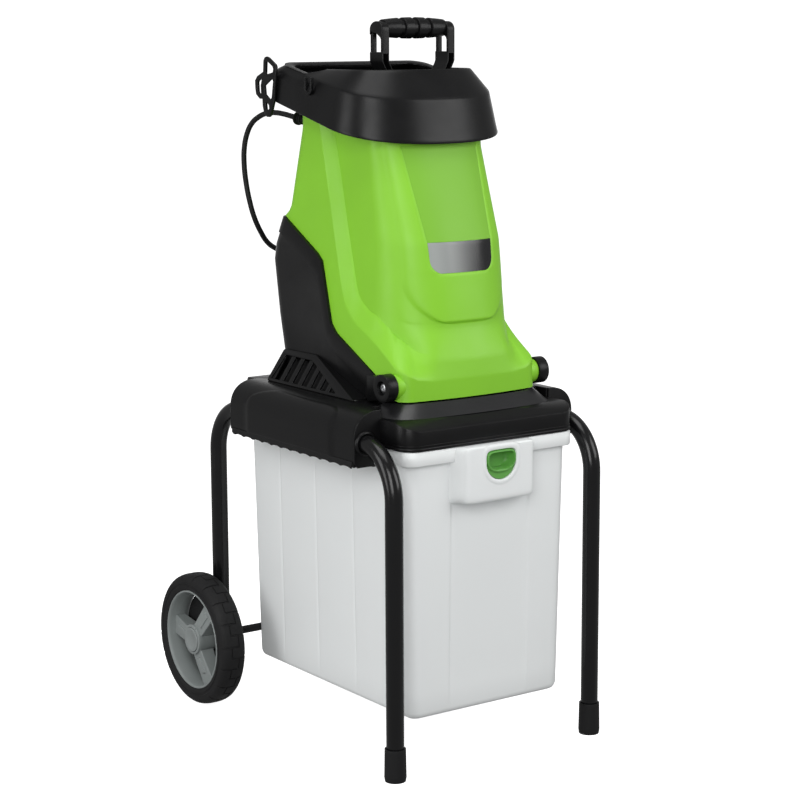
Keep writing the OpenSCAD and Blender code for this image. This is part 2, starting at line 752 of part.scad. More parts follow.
// Seam between the hopper body and the motor housing, as [y, height]
seam = [[-hinge_front + boss_r, 26], [-13, 85], [1, 98], [29, 184], [41, 194], [131, 241], [260, 241]];
seam_gap = 0.6;
module seam_side(lift) translate([-skirt_w, 0, lift])
  rotate([90, 0, 90])
    linear_extrude(2 * skirt_w)
      polygon(concat([[-skirt_front - 40, skirt_low - 60], [-hinge_front + boss_r, skirt_low - 60]], seam,
        [[260, -60]]));
knuckle_gap = 0.5;
boss_in = skirt_w / 2 + 4;
knuckle_r = boss_r - 2;
knuckle_l = 16;
module hinge_axis() translate([0, -hinge_front, hinge_h]) children();
// Room round the hinge axis, so that the skirt's lower corners pass the housing as the body tilts
sweep_ahead = 9;
sweep_gap = 1;
module hinge_sweep() difference() {
  translate([-skirt_w, -hinge_front - sweep_ahead, skirt_low - 1])
    cube([2 * skirt_w, sweep_ahead + 2 * boss_r, hinge_h - skirt_low + 1]);
  hinge_axis()
    along_x(-2 * skirt_w, 4 * skirt_w, boss_r - sweep_gap);
}
module hopper_body() color(green) on_deck() difference() {
  union() {
    difference() {
      body_shell();
      seam_side(seam_gap / 2);
      hinge_sweep();
    }
    sides()
      hinge_axis()
        along_x(boss_in - knuckle_gap - knuckle_l, knuckle_l, knuckle_r);
    knob_lug(0);
    for (p = hood_screw_places())
      translate([p.x, p.y, seat_height(p.y - hood_boss_r) - 20])
        cylinder(h = 20, r = hood_boss_r);
  }
  for (p = hood_screw_places())
    translate([p.x, p.y, seat_height(p.y) - 17])
      cylinder(h = 30, r = hood_screw_r + screw_gap);
  hinge_axis()
    along_x(-boss_in, 2 * boss_in, hinge_bolt_r + run_fit);
  knob_axis()
    cylinder(h = 60, r = stud_r + push_fit, center = true);
  gland_axis()
    translate([0, 0, -20])
      cylinder(h = 40, r = gland_neck_r + push_fit);
}

// Motor housing: a bucket with a slanting rim, a raised border along it and a boss at each front corner
housing_rear = [[0, 143], [41, 147], [176, 178], [199, 174], [215, 166], [241, 153]];
housing_side = [[0, housing_w / 2], [97, housing_w / 2], [241, housing_w / 2 - 6]];
housing_front = hinge_front - boss_r + 0.6;
housing_levels = [0, 41, 97, 140, 176, 199, 215, 241];
housing_corner = 32;
function housing_half(h, inset) =
  let (w = lookup(h, housing_side) - inset, yr = lookup(h, housing_rear) - inset, r = housing_corner - inset)
  concat([[0, -housing_front + inset, h], [w, -housing_front + inset, h], [w, 0, h], [w, 60, h]],
    [for (k = [0 : 5]) [w - r + r * cos(18 * k), yr - r + r * sin(18 * k), h]],
    [[0, yr, h]]);
function housing_ring(h, inset) = mirrored(housing_half(h, inset));
module housing_shell(grow) ring_skin(concat(
  [for (h = housing_levels) housing_ring(h, -grow)],
  [for (k = [len(housing_levels) - 1 : -1 : 0]) housing_ring(housing_levels[k], housing_wall)]));
border_rise = 2;
module housing_rim() intersection() {
  housing_shell(border_rise);
  difference() {
    seam_side(-seam_gap / 2);
    translate([0, border_w * 0.4, -border_w])
      seam_side(-seam_gap / 2);
  }
  translate([-skirt_w, -housing_front - 1, 0])
    cube([2 * skirt_w, 4 * housing_front, 260]);
}
foot_flange = 14;
foot_flange_t = 4;
module housing_foot() difference() {
  linear_extrude(foot_flange_t)
    polygon(flat(housing_ring(0, 0)));
  translate([0, 0, -1])
    linear_extrude(foot_flange_t + 2)
      rounded_plan(housing_w / 2 - housing_wall - foot_flange, -housing_front + 8, 126, 30);
}
screw_boss_r = 6;
module boss_arm() difference() {
  union() {
    hinge_axis()
      along_x(boss_in, boss_l, boss_r);
    hull() {
      hinge_axis()
        along_x(boss_in, boss_l - 4, boss_r * 0.8);
      translate([housing_w / 2 - 2, -hinge_front + boss_r + 34, 0])
        cube([boss_in - housing_w / 2 + 4, 2, hinge_h + 10]);
    }
  }
  hinge_axis() {
    along_x(boss_in - boss_l - 10, boss_l + 10, boss_r + 1);
    along_x(boss_in - 1, boss_l + 2, hinge_bolt_r + push_fit);
    along_x(boss_in + boss_l - bolt_head_l - 2, boss_l, bolt_head_r + 3);
  }
}
module motor_housing() color(black) on_deck() {
  difference() {
    union() {
      difference() {
        union() {
          intersection() {
            housing_shell(0);
            seam_side(-seam_gap / 2);
          }
          housing_rim();
        }
        for (side = [-1, 1])
          scale_x(side)
            grille_window();
      }
      housing_foot();
      for (p = housing_screw_places())
        translate([p.x, p.y, 0])
          cylinder(h = housing_screw_bite + 6, r = screw_boss_r);
      knob_lug(1);
      plate_ledges();
    }
    for (p = housing_screw_places())
      translate([p.x, p.y, -1])
        cylinder(h = housing_screw_bite + 1, r = housing_screw_r);
    knob_axis()
      cylinder(h = 80, r = stud_r + stud_gap, center = true);
  }
  sides()
    boss_arm();
}

// Hinge bolts, fixed in the bosses, with recessed heads
bolt_head_r = 7;
bolt_head_l = 5;
module hinge_bolts() color(steel) on_deck() sides() hinge_axis() {
  along_x(boss_in - knuckle_gap - knuckle_l, knuckle_gap + knuckle_l + boss_l - bolt_head_l - 2,
    hinge_bolt_r);
  along_x(boss_in + boss_l - bolt_head_l - 2, bolt_head_l, bolt_head_r);
}

// Vent grilles: sloped frames with slanted slots at the foot of each side
grille_rear = 124;
grille_top_rear = 108;
grille_top_front = 26;
grille_front = -92;
grille_border = 8;
grille_slant = 22;
grille_t = 3;
grille_lean = atan(grille_out / grille_h);
grille_face_l = norm([grille_out, grille_h]);
grille_seat = 0.2;
slot_share = 0.56;
module grille_outline(inset) {
  lean_in = inset * 1.7;
  polygon([[grille_front + inset + lean_in * 0.9, inset], [grille_rear - inset - 2, inset],
    [grille_top_rear - inset, grille_face_l - inset], [grille_top_front + inset * 0.4, grille_face_l - inset]]);
}
// Places a flat outline, drawn in y and up-slope, on the sloped face of the right grille
module grille_face() translate([housing_w / 2 + grille_seat + grille_out, 0, 0])
  rotate([0, -grille_lean, 0])
    rotate([90, 0, 90])
      children();
module grille_window() translate([housing_w / 2 - 2 * housing_wall, 0, 0])
  rotate([90, 0, 90])
    linear_extrude(3 * housing_wall)
      offset(delta = -grille_border)
        polygon([[grille_front + 20, foot_flange_t], [grille_rear - 4, foot_flange_t],
          [grille_top_rear, grille_h], [grille_top_front, grille_h]]);
module grille_slots() {
  pitch = (grille_rear - grille_front - 40) / slot_count;
  intersection() {
    grille_outline(grille_border);
    for (k = [-1 : slot_count])
      translate([grille_front + 30 + pitch * k, 0])
        rotate(-grille_slant)
          translate([-pitch * slot_share / 2, -grille_face_l])
            square([pitch * slot_share, 3 * grille_face_l]);
  }
}
module vent_grille() color(black) on_deck() intersection() {
  difference() {
    grille_face()
      translate([0, 0, -grille_out * 1.6])
        linear_extrude(grille_out * 1.6)
          grille_outline(0);
    // hollow behind the face
    grille_face()
      translate([0, 0, -grille_out * 1.6 - grille_t])
        linear_extrude(grille_out * 1.6)
          grille_outline(grille_t);
    grille_face()
      translate([0, 0, -grille_t - 1])
        linear_extrude(grille_t + 2)
          grille_slots();
  }
  translate([housing_w / 2 + grille_seat, -300, grille_seat])
    cube([2 * grille_out, 600, 2 * grille_h]);
}
module vent_grille_left() scale_x(-1) vent_grille();
module vent_grille_right() vent_grille();

// Cutter and motor, upright behind the feed chute
disc_h = 20;
plate_h = 52;
plate_t = 6;
can_wall = 2.5;
can_r = stator_r + can_wall + 0.3;
can_h = stator_h + 72;
bearing_od = shaft_d + 18;
bearing_w = 10;
fan_h = 12;
stator_gap = 12;
can_top = plate_h + plate_t + can_h;
stator_h0 = plate_h + plate_t + fan_h + stator_gap;
armature_r = stator_r * 0.6;
air_gap = 1;
commutator_r = armature_r * 0.6;
commutator_h = 16;
shaft_r = shaft_d / 2;
disc_seat = 0;
plate_front = -6;
plate_side = housing_w / 2 - housing_wall - 1;
plate_rear = 138;
plate_corner = 24;
ledge_t = 4;
module at_motor(h) translate([0, motor_y, h]) children();
module plate_plan(inset) intersection() {
  rounded_plan(plate_side - inset, plate_front, plate_rear - inset, plate_corner);
  polygon(flat(housing_ring(plate_h, housing_wall + 0.5 + inset)));
}
// Ledges in the housing that carry the bearing plate
module plate_ledges() sides() for (y = [plate_front + 24, 92])
  translate([housing_w / 2 - housing_wall - 10, y, plate_h - ledge_t])
    cube([10 + housing_wall / 2, 16, ledge_t]);
module bearing_plate() color(steel) on_deck() difference() {
  union() {
    translate([0, 0, plate_h])
      linear_extrude(plate_t)
        plate_plan(0);
    at_motor(plate_h - 6)
      cylinder(h = bearing_w + 4, r = bearing_od / 2 + 5);
  }
  at_motor(plate_h - 4)
    cylinder(h = bearing_w + 10, r = bearing_od / 2 + push_fit);
  at_motor(plate_h - 10)
    cylinder(h = 30, r = shaft_r + 3);
}
module motor_can() color(black) on_deck() at_motor(plate_h + plate_t) difference() {
  cylinder(h = can_h, r = can_r);
  difference() {
    translate([0, 0, -1])
      cylinder(h = can_h - 3, r = can_r - can_wall);
    // seat of the upper bearing
    translate([0, 0, can_h - 4 - bearing_w])
      cylinder(h = bearing_w + 1, r = bearing_od / 2 + 4);
  }
  translate([0, 0, can_h - 5 - bearing_w])
    cylinder(h = bearing_w + 1, r = bearing_od / 2 + push_fit);
  translate([0, 0, can_h - 10])
    cylinder(h = 20, r = shaft_r + 3);
  for (k = [0 : 7])
    rotate([0, 0, 45 * k + 22.5])
      translate([0, -4, 3])
        cube([2 * can_r, 8, fan_h]);
}
module motor_stator() color(grey) on_deck() at_motor(stator_h0) difference() {
  cylinder(h = stator_h, r = stator_r);
  translate([0, 0, -1])
    cylinder(h = stator_h + 2, r = armature_r + air_gap);
  for (k = [0, 1])
    rotate([0, 0, 180 * k])
      translate([armature_r, -stator_r * 0.35, -1])
        cube([stator_r * 0.22, stator_r * 0.7, stator_h + 2]);
}
top_bearing_h = can_top - 4 - bearing_w;
module shaft_bearings() color(steel) on_deck() {
  for (h = [plate_h - 4, top_bearing_h])
    at_motor(h)
      difference() {
        cylinder(h = bearing_w, r = bearing_od / 2);
        translate([0, 0, -1])
          cylinder(h = bearing_w + 2, r = shaft_r + run_fit);
      }
}
commutator_h0 = stator_h0 + stator_h + 12;
brush_l = 12;
brush_gap = 0.3;
module brush_holders() color(copper) on_deck() at_motor(commutator_h0 + 3) for (k = [0, 1])
  rotate([0, 0, 180 * k + 90])
    translate([commutator_r + brush_gap, -4, 0])
      cube([can_r - can_wall - push_fit - 0.4 - commutator_r - brush_gap, 8, 10]);
module motor_shaft() color(steel) on_deck() at_motor(disc_h - 6)
  cylinder(h = can_top - 4 - disc_h + 6 - 1, r = shaft_r);
module ring_on_shaft(h, l, r) at_motor(h) difference() {
  cylinder(h = l, r = r);
  translate([0, 0, -1])
    cylinder(h = l + 2, r = shaft_r + push_fit);
}
module armature() color(copper) on_deck() difference() {
  ring_on_shaft(stator_h0 - 2, stator_h + 4, armature_r);
  for (k = [0 : 11])
    at_motor(stator_h0 - 3)
      rotate([0, 0, 30 * k])
        translate([armature_r - 3, -1.5, 0])
          cube([6, 3, stator_h + 6]);
}
module commutator() color(copper) on_deck()
  ring_on_shaft(commutator_h0, commutator_h, commutator_r);
fan_r = stator_r - 3;
module cooling_fan() color(black) on_deck() {
  ring_on_shaft(plate_h + plate_t + 9, 3, fan_r);
  ring_on_shaft(plate_h + plate_t + 9, fan_h, shaft_r + 5);
  for (k = [0 : 8])
    at_motor(plate_h + plate_t + 11)
      rotate([0, 0, 40 * k])
        translate([shaft_r + 8, -1, 0])
          cube([fan_r - shaft_r - 9, 2, fan_h - 4]);
}

// Blade disc with two slots, a blade over each slot
blade_l = 58;
blade_w = 34;
blade_t = 4;
blade_in = 28;
blade_slot = 16;
blade_screw_r = 3;
blade_screw_pitch = 30;
module blade_places() for (k = [0, 1])
  rotate([0, 0, 180 * k])
    translate([blade_in, 0, 0])
      children();
module blade_disc() color(steel) on_deck() difference() {
  union() {
    ring_on_shaft(disc_h, disc_t, disc_r);
    ring_on_shaft(disc_h + disc_t, 10, shaft_r + 8);
  }
  at_motor(disc_h - 1)
    blade_places() {
      translate([0, blade_w * 0.4, 0])
        cube([blade_l, blade_slot, disc_t + 2]);
      for (e = [-1, 1])
        translate([blade_l / 2 + e * blade_screw_pitch / 2, 4, 0])
          cylinder(h = disc_t + 2, r = blade_screw_r + push_fit);
    }
}
module cutter_blades() color(steel) on_deck() at_motor(disc_h + disc_t) blade_places() difference() {
  translate([0, -blade_w / 2, 0])
    cube([blade_l, blade_w, blade_t]);
  translate([-1, blade_w / 2, blade_t])
    rotate([-60, 0, 0])
      translate([0, -blade_t, 0])
        cube([blade_l + 2, 2 * blade_t, 3 * blade_t]);
  for (e = [-1, 1])
    translate([blade_l / 2 + e * blade_screw_pitch / 2, 4, -1])
      cylinder(h = blade_t + 2, r = blade_screw_r + push_fit);
}
module blade_screws() color(black) on_deck() at_motor(disc_h) blade_places() for (e = [-1, 1])
  translate([blade_l / 2 + e * blade_screw_pitch / 2, 4, 0]) {
    cylinder(h = disc_t + blade_t, r = blade_screw_r);
    translate([0, 0, disc_t + blade_t])
      cylinder(h = 2.5, r1 = blade_screw_r + 2.5, r2 = blade_screw_r + 1);
  }
module disc_bolt() color(steel) on_deck() at_motor(disc_h - 6) difference() {
  translate([0, 0, -8])
    cylinder(h = 14 - 0.1, r = shaft_r + 7);
  cylinder(h = 20, r = shaft_r + push_fit);
}

// Hood: a flared skirt, a sloped visor round the front of the mouth, and a seat on the hopper body
hood_lean = 12;
visor_lean = 26;
hood_rear = 136;
hood_rear_lean = 15;
hood_corner = 24;
hood_n = 2.35;
hood_depth = 95;
visor_end = 42;
crease_slope = 0.214;
hood_cap_n = 10;
shoulder_up = 0.72;
shoulder_in = 0.15;
rear_rise = 18;
rear_rise_l = 26;
throat_x = 80;
throat_front = 68;
throat_rear = 80;
flange_t = 3;
// Half outline of the hood with its front and side drawn in
function hood_half(inset, rear_in, z0, slope) =
  let (
    w = hood_w / 2 - inset,
    yf = -hood_front + inset,
    d = hood_depth - inset,
    yr = hood_rear - rear_in,
    r = hood_corner)
  [for (p = concat(
    [for (k = [0 : hood_cap_n])
      let (u = pow(sin(90 * k / hood_cap_n), 2 / hood_n))
      [u * w, yf + d * cap_rise(u, hood_n)]],
    [for (y = [visor_end - 30, visor_end, visor_end + 6]) [w, y]],
    [for (a = [0, 30, 60, 90]) [w - r + r * cos(a), yr - r + r * sin(a)]],
    [[0, yr]])) [p.x, p.y, z0 + slope * (p.y + hood_front)]];
function hood_ring(inset, rear_in, z0, slope) = mirrored(hood_half(inset, rear_in, z0, slope));
// Lower edge of the skirt, which curves up at its rear corners
function hood_foot(inset) = [for (p = hood_ring(inset, inset, hopper_h, hood_slope))
  [p.x, p.y, p.z + rear_rise * pow(share(p.y, hood_rear - rear_rise_l, hood_rear), 2)]];
// Crease between the skirt and the visor, which is the rim behind the visor
function hood_crease(inset, drop) =
  hood_ring(hood_lean + inset, hood_rear_lean + inset, hopper_h + hood_skirt_h - drop, crease_slope);
// Shoulder of the skirt: behind the visor it stands upright and then turns in to the rim
function hood_shoulder(inset) =
  let (foot = hood_foot(inset), rim = hood_crease(inset, 0))
  [for (i = [0 : len(foot) - 1])
    let (
      t = lerp(shoulder_up, shoulder_in, share(foot[i].y, visor_end - 30, visor_end)),
      f = foot[i],
      c = rim[i])
    [lerp(f.x, c.x, t), lerp(f.y, c.y, t), lerp(f.z, c.z, shoulder_up)]];
// Top edge: the visor leans in ahead of visor_end, and behind it the skirt's own rim is the edge
function hood_top(inset) =
  let (
    lean = hood_ring(hood_lean + visor_lean + inset, 0, 0, 0),
    rim = hood_crease(inset, 0),
    edge = hopper_h + hood_skirt_h + visor_h)
  [for (i = [0 : len(rim) - 1])
    rim[i].y < visor_end + 3 ? [lean[i].x, lean[i].y, edge] : [rim[i].x, rim[i].y, rim[i].z + 2]];
function throat_ring(out, lift) =
  let (x = throat_x + out, n = len(hood_half(0, 0, 0, 0)))
  mirrored([for (i = [0 : n - 1])
    let (a = 180 * i / (n - 1) - 90,
      px = x * pow(abs(cos(a)), 0.4),
      yc = (throat_rear - throat_front) / 2,
      py = yc + (throat_front + throat_rear + 2 * out) / 2 * sign(sin(a)) * pow(abs(sin(a)), 0.4))
    [abs(px) < 0.001 ? 0 : px, py, seat_height(py) + lift]]);
// Edge of the seat, inside the skirt and clear of the body that it sits on
seat_in = hood_lean / 2 + hopper_wall;
function seat_ring(lift) = [for (p = hood_ring(seat_in, hood_rear_lean + hopper_wall, 0, 0))
  [p.x, p.y, seat_height(p.y) + lift]];
seat_gap = 0.1;
module hopper_hood() color(black) on_deck() difference() {
  union() {
    ring_skin([
      hood_foot(0), hood_shoulder(0), hood_crease(0, 0),
      hood_top(0), hood_top(hopper_wall),
      hood_crease(hopper_wall, 2), hood_shoulder(hopper_wall),
      seat_ring(flange_t + seat_gap),
      throat_ring(0, flange_t + seat_gap), throat_ring(0, seat_gap),
      seat_ring(seat_gap),
      hood_foot(hopper_wall)]);
    hook_peg();
  }
  for (p = hood_screw_places())
    translate([p.x, p.y, seat_height(p.y) - 20])
      cylinder(h = 30, r = hood_screw_r + screw_gap);
}
hood_screw_r = 2;
hood_screw_l = 16;
hood_screw_head_h = 2.5;
hood_screw_out = 14.5;
hood_screw_rear = throat_rear;
hood_screw_pitch = 42;
function hood_screw_places() = [for (sx = [-1, 1], y = [hood_screw_rear - hood_screw_pitch, hood_screw_rear])
  [sx * (throat_x + hood_screw_out), y]];
hood_boss_r = 7.5;
module hood_screws() color(steel) on_deck() for (p = hood_screw_places())
  translate([p.x, p.y, seat_height(p.y) + flange_t + seat_gap + 1.2]) {
    translate([0, 0, -hood_screw_l])
      cylinder(h = hood_screw_l, r = hood_screw_r);
    cylinder(h = hood_screw_head_h, r = hood_screw_r * 2);
  }

// Feed chute: hangs in the hood's throat and narrows down to the blade disc
chute_wall = 2.5;
chute_lip = 5;
chute_low = disc_h + disc_t + 14;
chute_knee = 215;
chute_rear = plate_front - 7;
chute_front = chute_rear - chute_d;
function chute_ring(x, y0, y1, h) = [for (p = flat(throat_ring(0, 0)))
  let (u = p.x / throat_x, v = (p.y + throat_front) / (throat_front + throat_rear))
  [u * x, lerp(y0, y1, v), h]];
function chute_wall_rings(inset) = [
  chute_ring(chute_w / 2 - inset, chute_front + inset, chute_front + chute_d - inset, chute_low),
  chute_ring(chute_w / 2 + 6 - inset, chute_front - 4 + inset, chute_front + chute_d - inset, chute_knee),
  throat_ring(-slide_gap - inset, -seat_over)];
module feed_chute() color(black) on_deck() {
  outer = chute_wall_rings(0);
  inner = chute_wall_rings(chute_wall);
  ring_skin([outer[0], outer[1], outer[2],
    throat_ring(-slide_gap, flange_t + 2 * seat_gap), throat_ring(chute_lip, flange_t + 2 * seat_gap),
    throat_ring(chute_lip, flange_t + chute_wall),
    throat_ring(-slide_gap - chute_wall, flange_t + chute_wall),
    inner[2], inner[1], inner[0]]);
}

// Pusher: a grip on two forked legs, whose straps draw in to a paddle in the chute
handle_y = -35;
handle_top = hopper_h + hood_skirt_h + visor_h + handle_h;
grip_r = grip_d / 2;
grip_half = handle_w / 2 - 6;
grip_taper = 3;
leg_fork = 28;
leg_w = 12;
prong_t = 3;
prong_l = 37;
fork_foot = 9;
strap_low = hopper_h + hood_skirt_h + 16;
strap_x = 36;
paddle_w = 96;
paddle_t = 22;
paddle_h = 90;
paddle_top = strap_low;
ear_x = throat_x + 4;
groove_w = 5;
module bar_xz(a, b, w, t) hull() for (p = [a, b])
  translate([p.x, 0, p.y])
    rotate([90, 0, 0])
      cylinder(h = t, r = w / 2, center = true, $fn = 24);
// Radius of the barrel grip at a distance from its middle
function barrel_r(x) = grip_r - grip_taper * pow(x / grip_half, 2);
module barrel() rotate([0, 90, 0])
  rotate_extrude()
    polygon(concat([[0, -grip_half]],
      [for (k = [-6 : 6]) [barrel_r(grip_half * k / 6), grip_half * k / 6]],
      [[0, grip_half]]));
module pusher_handle() color(black) on_deck() translate([0, handle_y, handle_top - grip_r]) {
  difference() {
    barrel();
    for (k = [-1 : 1])
      along_x(k * 14 - groove_w / 2, groove_w, grip_r + 2, grip_r - 2.5);
  }
  sides() {
    end_shell();
    for (e = [-1, 1])
      prong(e);
    fork_web();
    bar_xz([handle_w / 2 - leg_w / 2, -prong_l - fork_foot], [strap_x, strap_low - handle_top + grip_r],
      fork_foot + 3, paddle_t - 4);
  }
}
// Cap at each end of the grip, from which the two prongs of a leg hang
module end_shell() hull() for (e = [-1, 1])
  translate([handle_w / 2 - leg_w, e * (leg_fork / 2 - prong_t), 0])
    along_x(0, leg_w, barrel_r(grip_half) - 2);
module prong(e) translate([handle_w / 2 - leg_w, e * leg_fork / 2 - prong_t, -prong_l - 1])
  cube([leg_w, 2 * prong_t, prong_l + 1]);
// Foot of the fork, which joins its prongs to the strap that runs in to the paddle
module fork_web() translate([handle_w / 2 - leg_w, -leg_fork / 2 - prong_t, -prong_l - fork_foot])
  cube([leg_w, leg_fork + 2 * prong_t, fork_foot]);
module pusher_paddle() color(black) on_deck() translate([0, handle_y, 0]) {
  translate([-paddle_w / 2, -paddle_t / 2, paddle_top - paddle_h - 6])
    cube([paddle_w, paddle_t, paddle_h]);
  // ears that rest on the chute's lip
  translate([-ear_x, -6, seat_height(handle_y + 6) + flange_t + chute_wall + part_gap])
    cube([2 * ear_x, 12, 9]);
}

// Switch box on the rear of the hopper body
panel_low = body_rear[2];
panel_high = body_rear[3];
panel_l = panel_high.x - panel_low.x;
panel_tilt = atan((panel_low.y - panel_high.y) / panel_l);
switch_h = panel_low.x + panel_l * 0.536;
switch_w = 84;
switch_d = 26;
switch_tall = panel_l / 2;
button_travel = 3;
button_gap = 0.5;
module switch_axis() translate([0, lookup(switch_h, body_rear) + push_fit, switch_h])
  rotate([panel_tilt, 0, 0])
    rotate([-90, 0, 0])
      children();
// Buttons from left to right as [x, radius]
start_place = [-22, 10];
stop_place = [10, 12];
reset_place = [32, 5];
module switch_box() color(black) on_deck() switch_axis() difference() {
  linear_extrude(switch_d)
    translate([0, -switch_tall / 2])
      rounded_plan(switch_w / 2, 0, switch_tall, 9);
  for (b = [start_place, stop_place, reset_place])
    translate([b.x, 0, 6])
      cylinder(h = switch_d, r = b.y + button_gap);
}
module button(b, tint) color(tint) on_deck() switch_axis()
  translate([b.x, 0, 6 + button_travel + button_gap])
    cylinder(h = switch_d - 6, r = b.y);
module start_button() button(start_place, lock_green);
module stop_button() button(stop_place, "crimson");
module reset_button() button(reset_place, black);

// Locking knob on a lug behind the seam, with its stud along the tilt's path
knob_tilt = 33;
knob_y = 178;
knob_h = 262;
knob_r = 20;
knob_l = 24;
stud_r = 4;
stud_gap = 2;
stud_l = 14;
lug_t = 8;
lug_r = 17;
module knob_axis() translate([0, knob_y, knob_h]) rotate([knob_tilt, 0, 0]) children();
// which is 0 for the hopper's lug and 1 for the housing's
module knob_lug(which) difference() {
  hull() {
    knob_axis()
      translate([0, 0, which == 0 ? seam_gap : -lug_t - seam_gap])
        cylinder(h = lug_t, r = lug_r, $fn = 32);
    if (which == 0)
      translate([-lug_r, lookup(258, body_rear) - 2, 249])
        cube([2 * lug_r, 1, 14]);
    else
      translate([-lug_r, lookup(199, housing_rear) - 2, 190])
        cube([2 * lug_r, 1, 20]);
  }
  if (which == 0) {
    seam_side(seam_gap / 2);
    knob_axis()
      translate([0, 0, lug_t + seam_gap])
        cylinder(h = 3 * knob_l, r = knob_r + 3);
  } else
    knob_axis()
      translate([-50, -80, -seam_gap])
        cube([100, 160, 60]);
}
module locking_knob() color(black) on_deck() knob_axis() {
  translate([0, 0, lug_t + seam_gap + 0.3]) {
    difference() {
      cylinder(h = knob_l, r1 = knob_r, r2 = knob_r - 2);
      for (k = [0 : 7])
        rotate([0, 0, 45 * k])
          translate([knob_r + 2, 0, -1])
            cylinder(h = knob_l + 2, r = 5);
    }
  }
  translate([0, 0, -stud_l])
    cylinder(h = stud_l + lug_t + seam_gap + 1, r = stud_r);
}
module safety_switch() color(black) on_deck()
  translate([-12, lookup(150, housing_rear) - housing_wall - 20.3, 150])
    cube([24, 20, 34]);

// Cable hook: a bent plate that hangs by its upper loop from a peg on the hood's rear left corner
hook_t = 4;
hook_hood_gap = 0.5;
hook_x = -hood_w / 2 - hook_t / 2 - hook_hood_gap;
hook_l = 82;
hook_peg_in = 22;
hook_peg_drop = 8.6;
hook_peg_y = hood_rear - hook_peg_in;
hook_peg_h = hopper_h + hood_skirt_h + crease_slope * (hook_peg_y + hood_front) - hook_peg_drop;
hook_peg_r = 3;
hook_peg_head = 5.5;
hook_peg_head_t = 3;
hook_side_gap = 0.3;
module hook_peg() translate([0, hook_peg_y, hook_peg_h]) {
  outer = hook_x - hook_t / 2 - hook_side_gap;
  wall = hood_w / 2 - hood_lean - 2;
  along_x(outer, -outer - wall, hook_peg_r);
  along_x(outer - hook_peg_head_t, hook_peg_head_t, hook_peg_head);
}
// Outline from the peg, in parts of the hook's height
hook_parts = 82;
module hook_outline() translate([hook_peg_y, hook_peg_h]) scale(hook_l / hook_parts) difference() {
  polygon([[-12, 1], [-8, 8], [13, 21], [18, 19], [25, -3], [44, -15], [47, -21], [43, -36], [38, -37],
    [36, -25], [26, -21], [26, -51], [21, -57], [10, -61], [5, -58]]);
  // loop over the peg
  polygon([[-4, -3.4], [-4, 3.4], [13, 14], [19, -2], [10, -10], [0, -5]]);
  // two lower loops for the cord
  polygon([[5, -20], [19, -11], [20, -27], [7, -31]]);
  polygon([[8, -37], [20, -33], [20, -48], [11, -53]]);
}
module cable_hook() color(black) on_deck() translate([hook_x - hook_t / 2, 0, 0])
  rotate([90, 0, 90])
    linear_extrude(hook_t)
      hook_outline();

// Strain relief, cord and plug
gland_neck_r = 5.5;
gland_l = 24;
gland_x = -88;
gland_h = hopper_h + 28;
gland_seat = 9.5;
gland_mouth = [gland_x, lookup(gland_h, body_rear) - 4, gland_h];
module gland_axis() translate(gland_mouth)
  rotate([-84, 0, 0]) children();
module cable_gland() color(black) on_deck() gland_axis() difference() {
  union() {
    translate([0, 0, -6])
      cylinder(h = gland_seat + 7, r = gland_neck_r);
    translate([0, 0, gland_seat])
      cylinder(h = gland_l - 6, r1 = 7, r2 = 5.5);
    for (k = [0 : 2])
      translate([0, 0, gland_seat + 1 + 6 * k])
        cylinder(h = 3.5, r = 8 - k * 0.5);
  }
  translate([0, 0, -10])
    cylinder(h = gland_l + 20, r = cord_d / 2 + part_gap);
}
// Route of the cord from the mouth of the gland: past the hook, then down and round behind the housing
cord_points = [[0, 0, 0], [0, 13, 1.4], [0, 26, 2.8], [-2, 39, 5], [-4.5, 54.5, 7.5], [-7.5, 73.5, 9],
  [-10.5, 93, 7.5], [-13.5, 111, 1.5], [-17, 125, -8.5], [-20, 134, -24], [-22, 139, -45], [-21.5, 141, -70],
  [-19, 140.5, -97], [-15, 138, -124], [-8.5, 136, -149], [3, 137, -171.5], [18, 142, -189], [36.5, 148, -200],
  [56.5, 152, -207.5], [78, 153.5, -215], [98.5, 152.5, -225], [116, 150.5, -238], [128.5, 148, -255],
  [133, 146.5, -278]];
cord_route = [for (p = cord_points) p + gland_mouth];
function unit(v) = v / norm(v);
function route_dir(k) = unit(cord_route[min(k + 1, len(cord_route) - 1)] - cord_route[max(k - 1, 0)]);
function cord_ring(k) =
  let (d = route_dir(k), a = unit(cross([0, 0.3, 1], d)), b = cross(d, a))
  [for (i = [0 : 7]) cord_route[k] + cord_d / 2 * (cos(45 * i) * a + sin(45 * i) * b)];
module power_cord() color(black) on_deck()
  capped_skin([for (k = [0 : len(cord_route) - 1]) cord_ring(k)]);
plug_l = 44;
plug_r = 17;
pin_l = 19;
pin_r = 2.4;
pin_gap = 19;
module power_plug() color(black) on_deck() translate(cord_route[len(cord_route) - 1]) {
  mirror([0, 0, 1]) {
    cylinder(h = 12, r1 = 7, r2 = 9);
    translate([0, 0, 12])
      cylinder(h = plug_l - 12, r1 = 12, r2 = plug_r);
    for (e = [-1, 1])
      translate([e * pin_gap / 2, 0, plug_l])
        cylinder(h = pin_l, r = pin_r);
  }
}

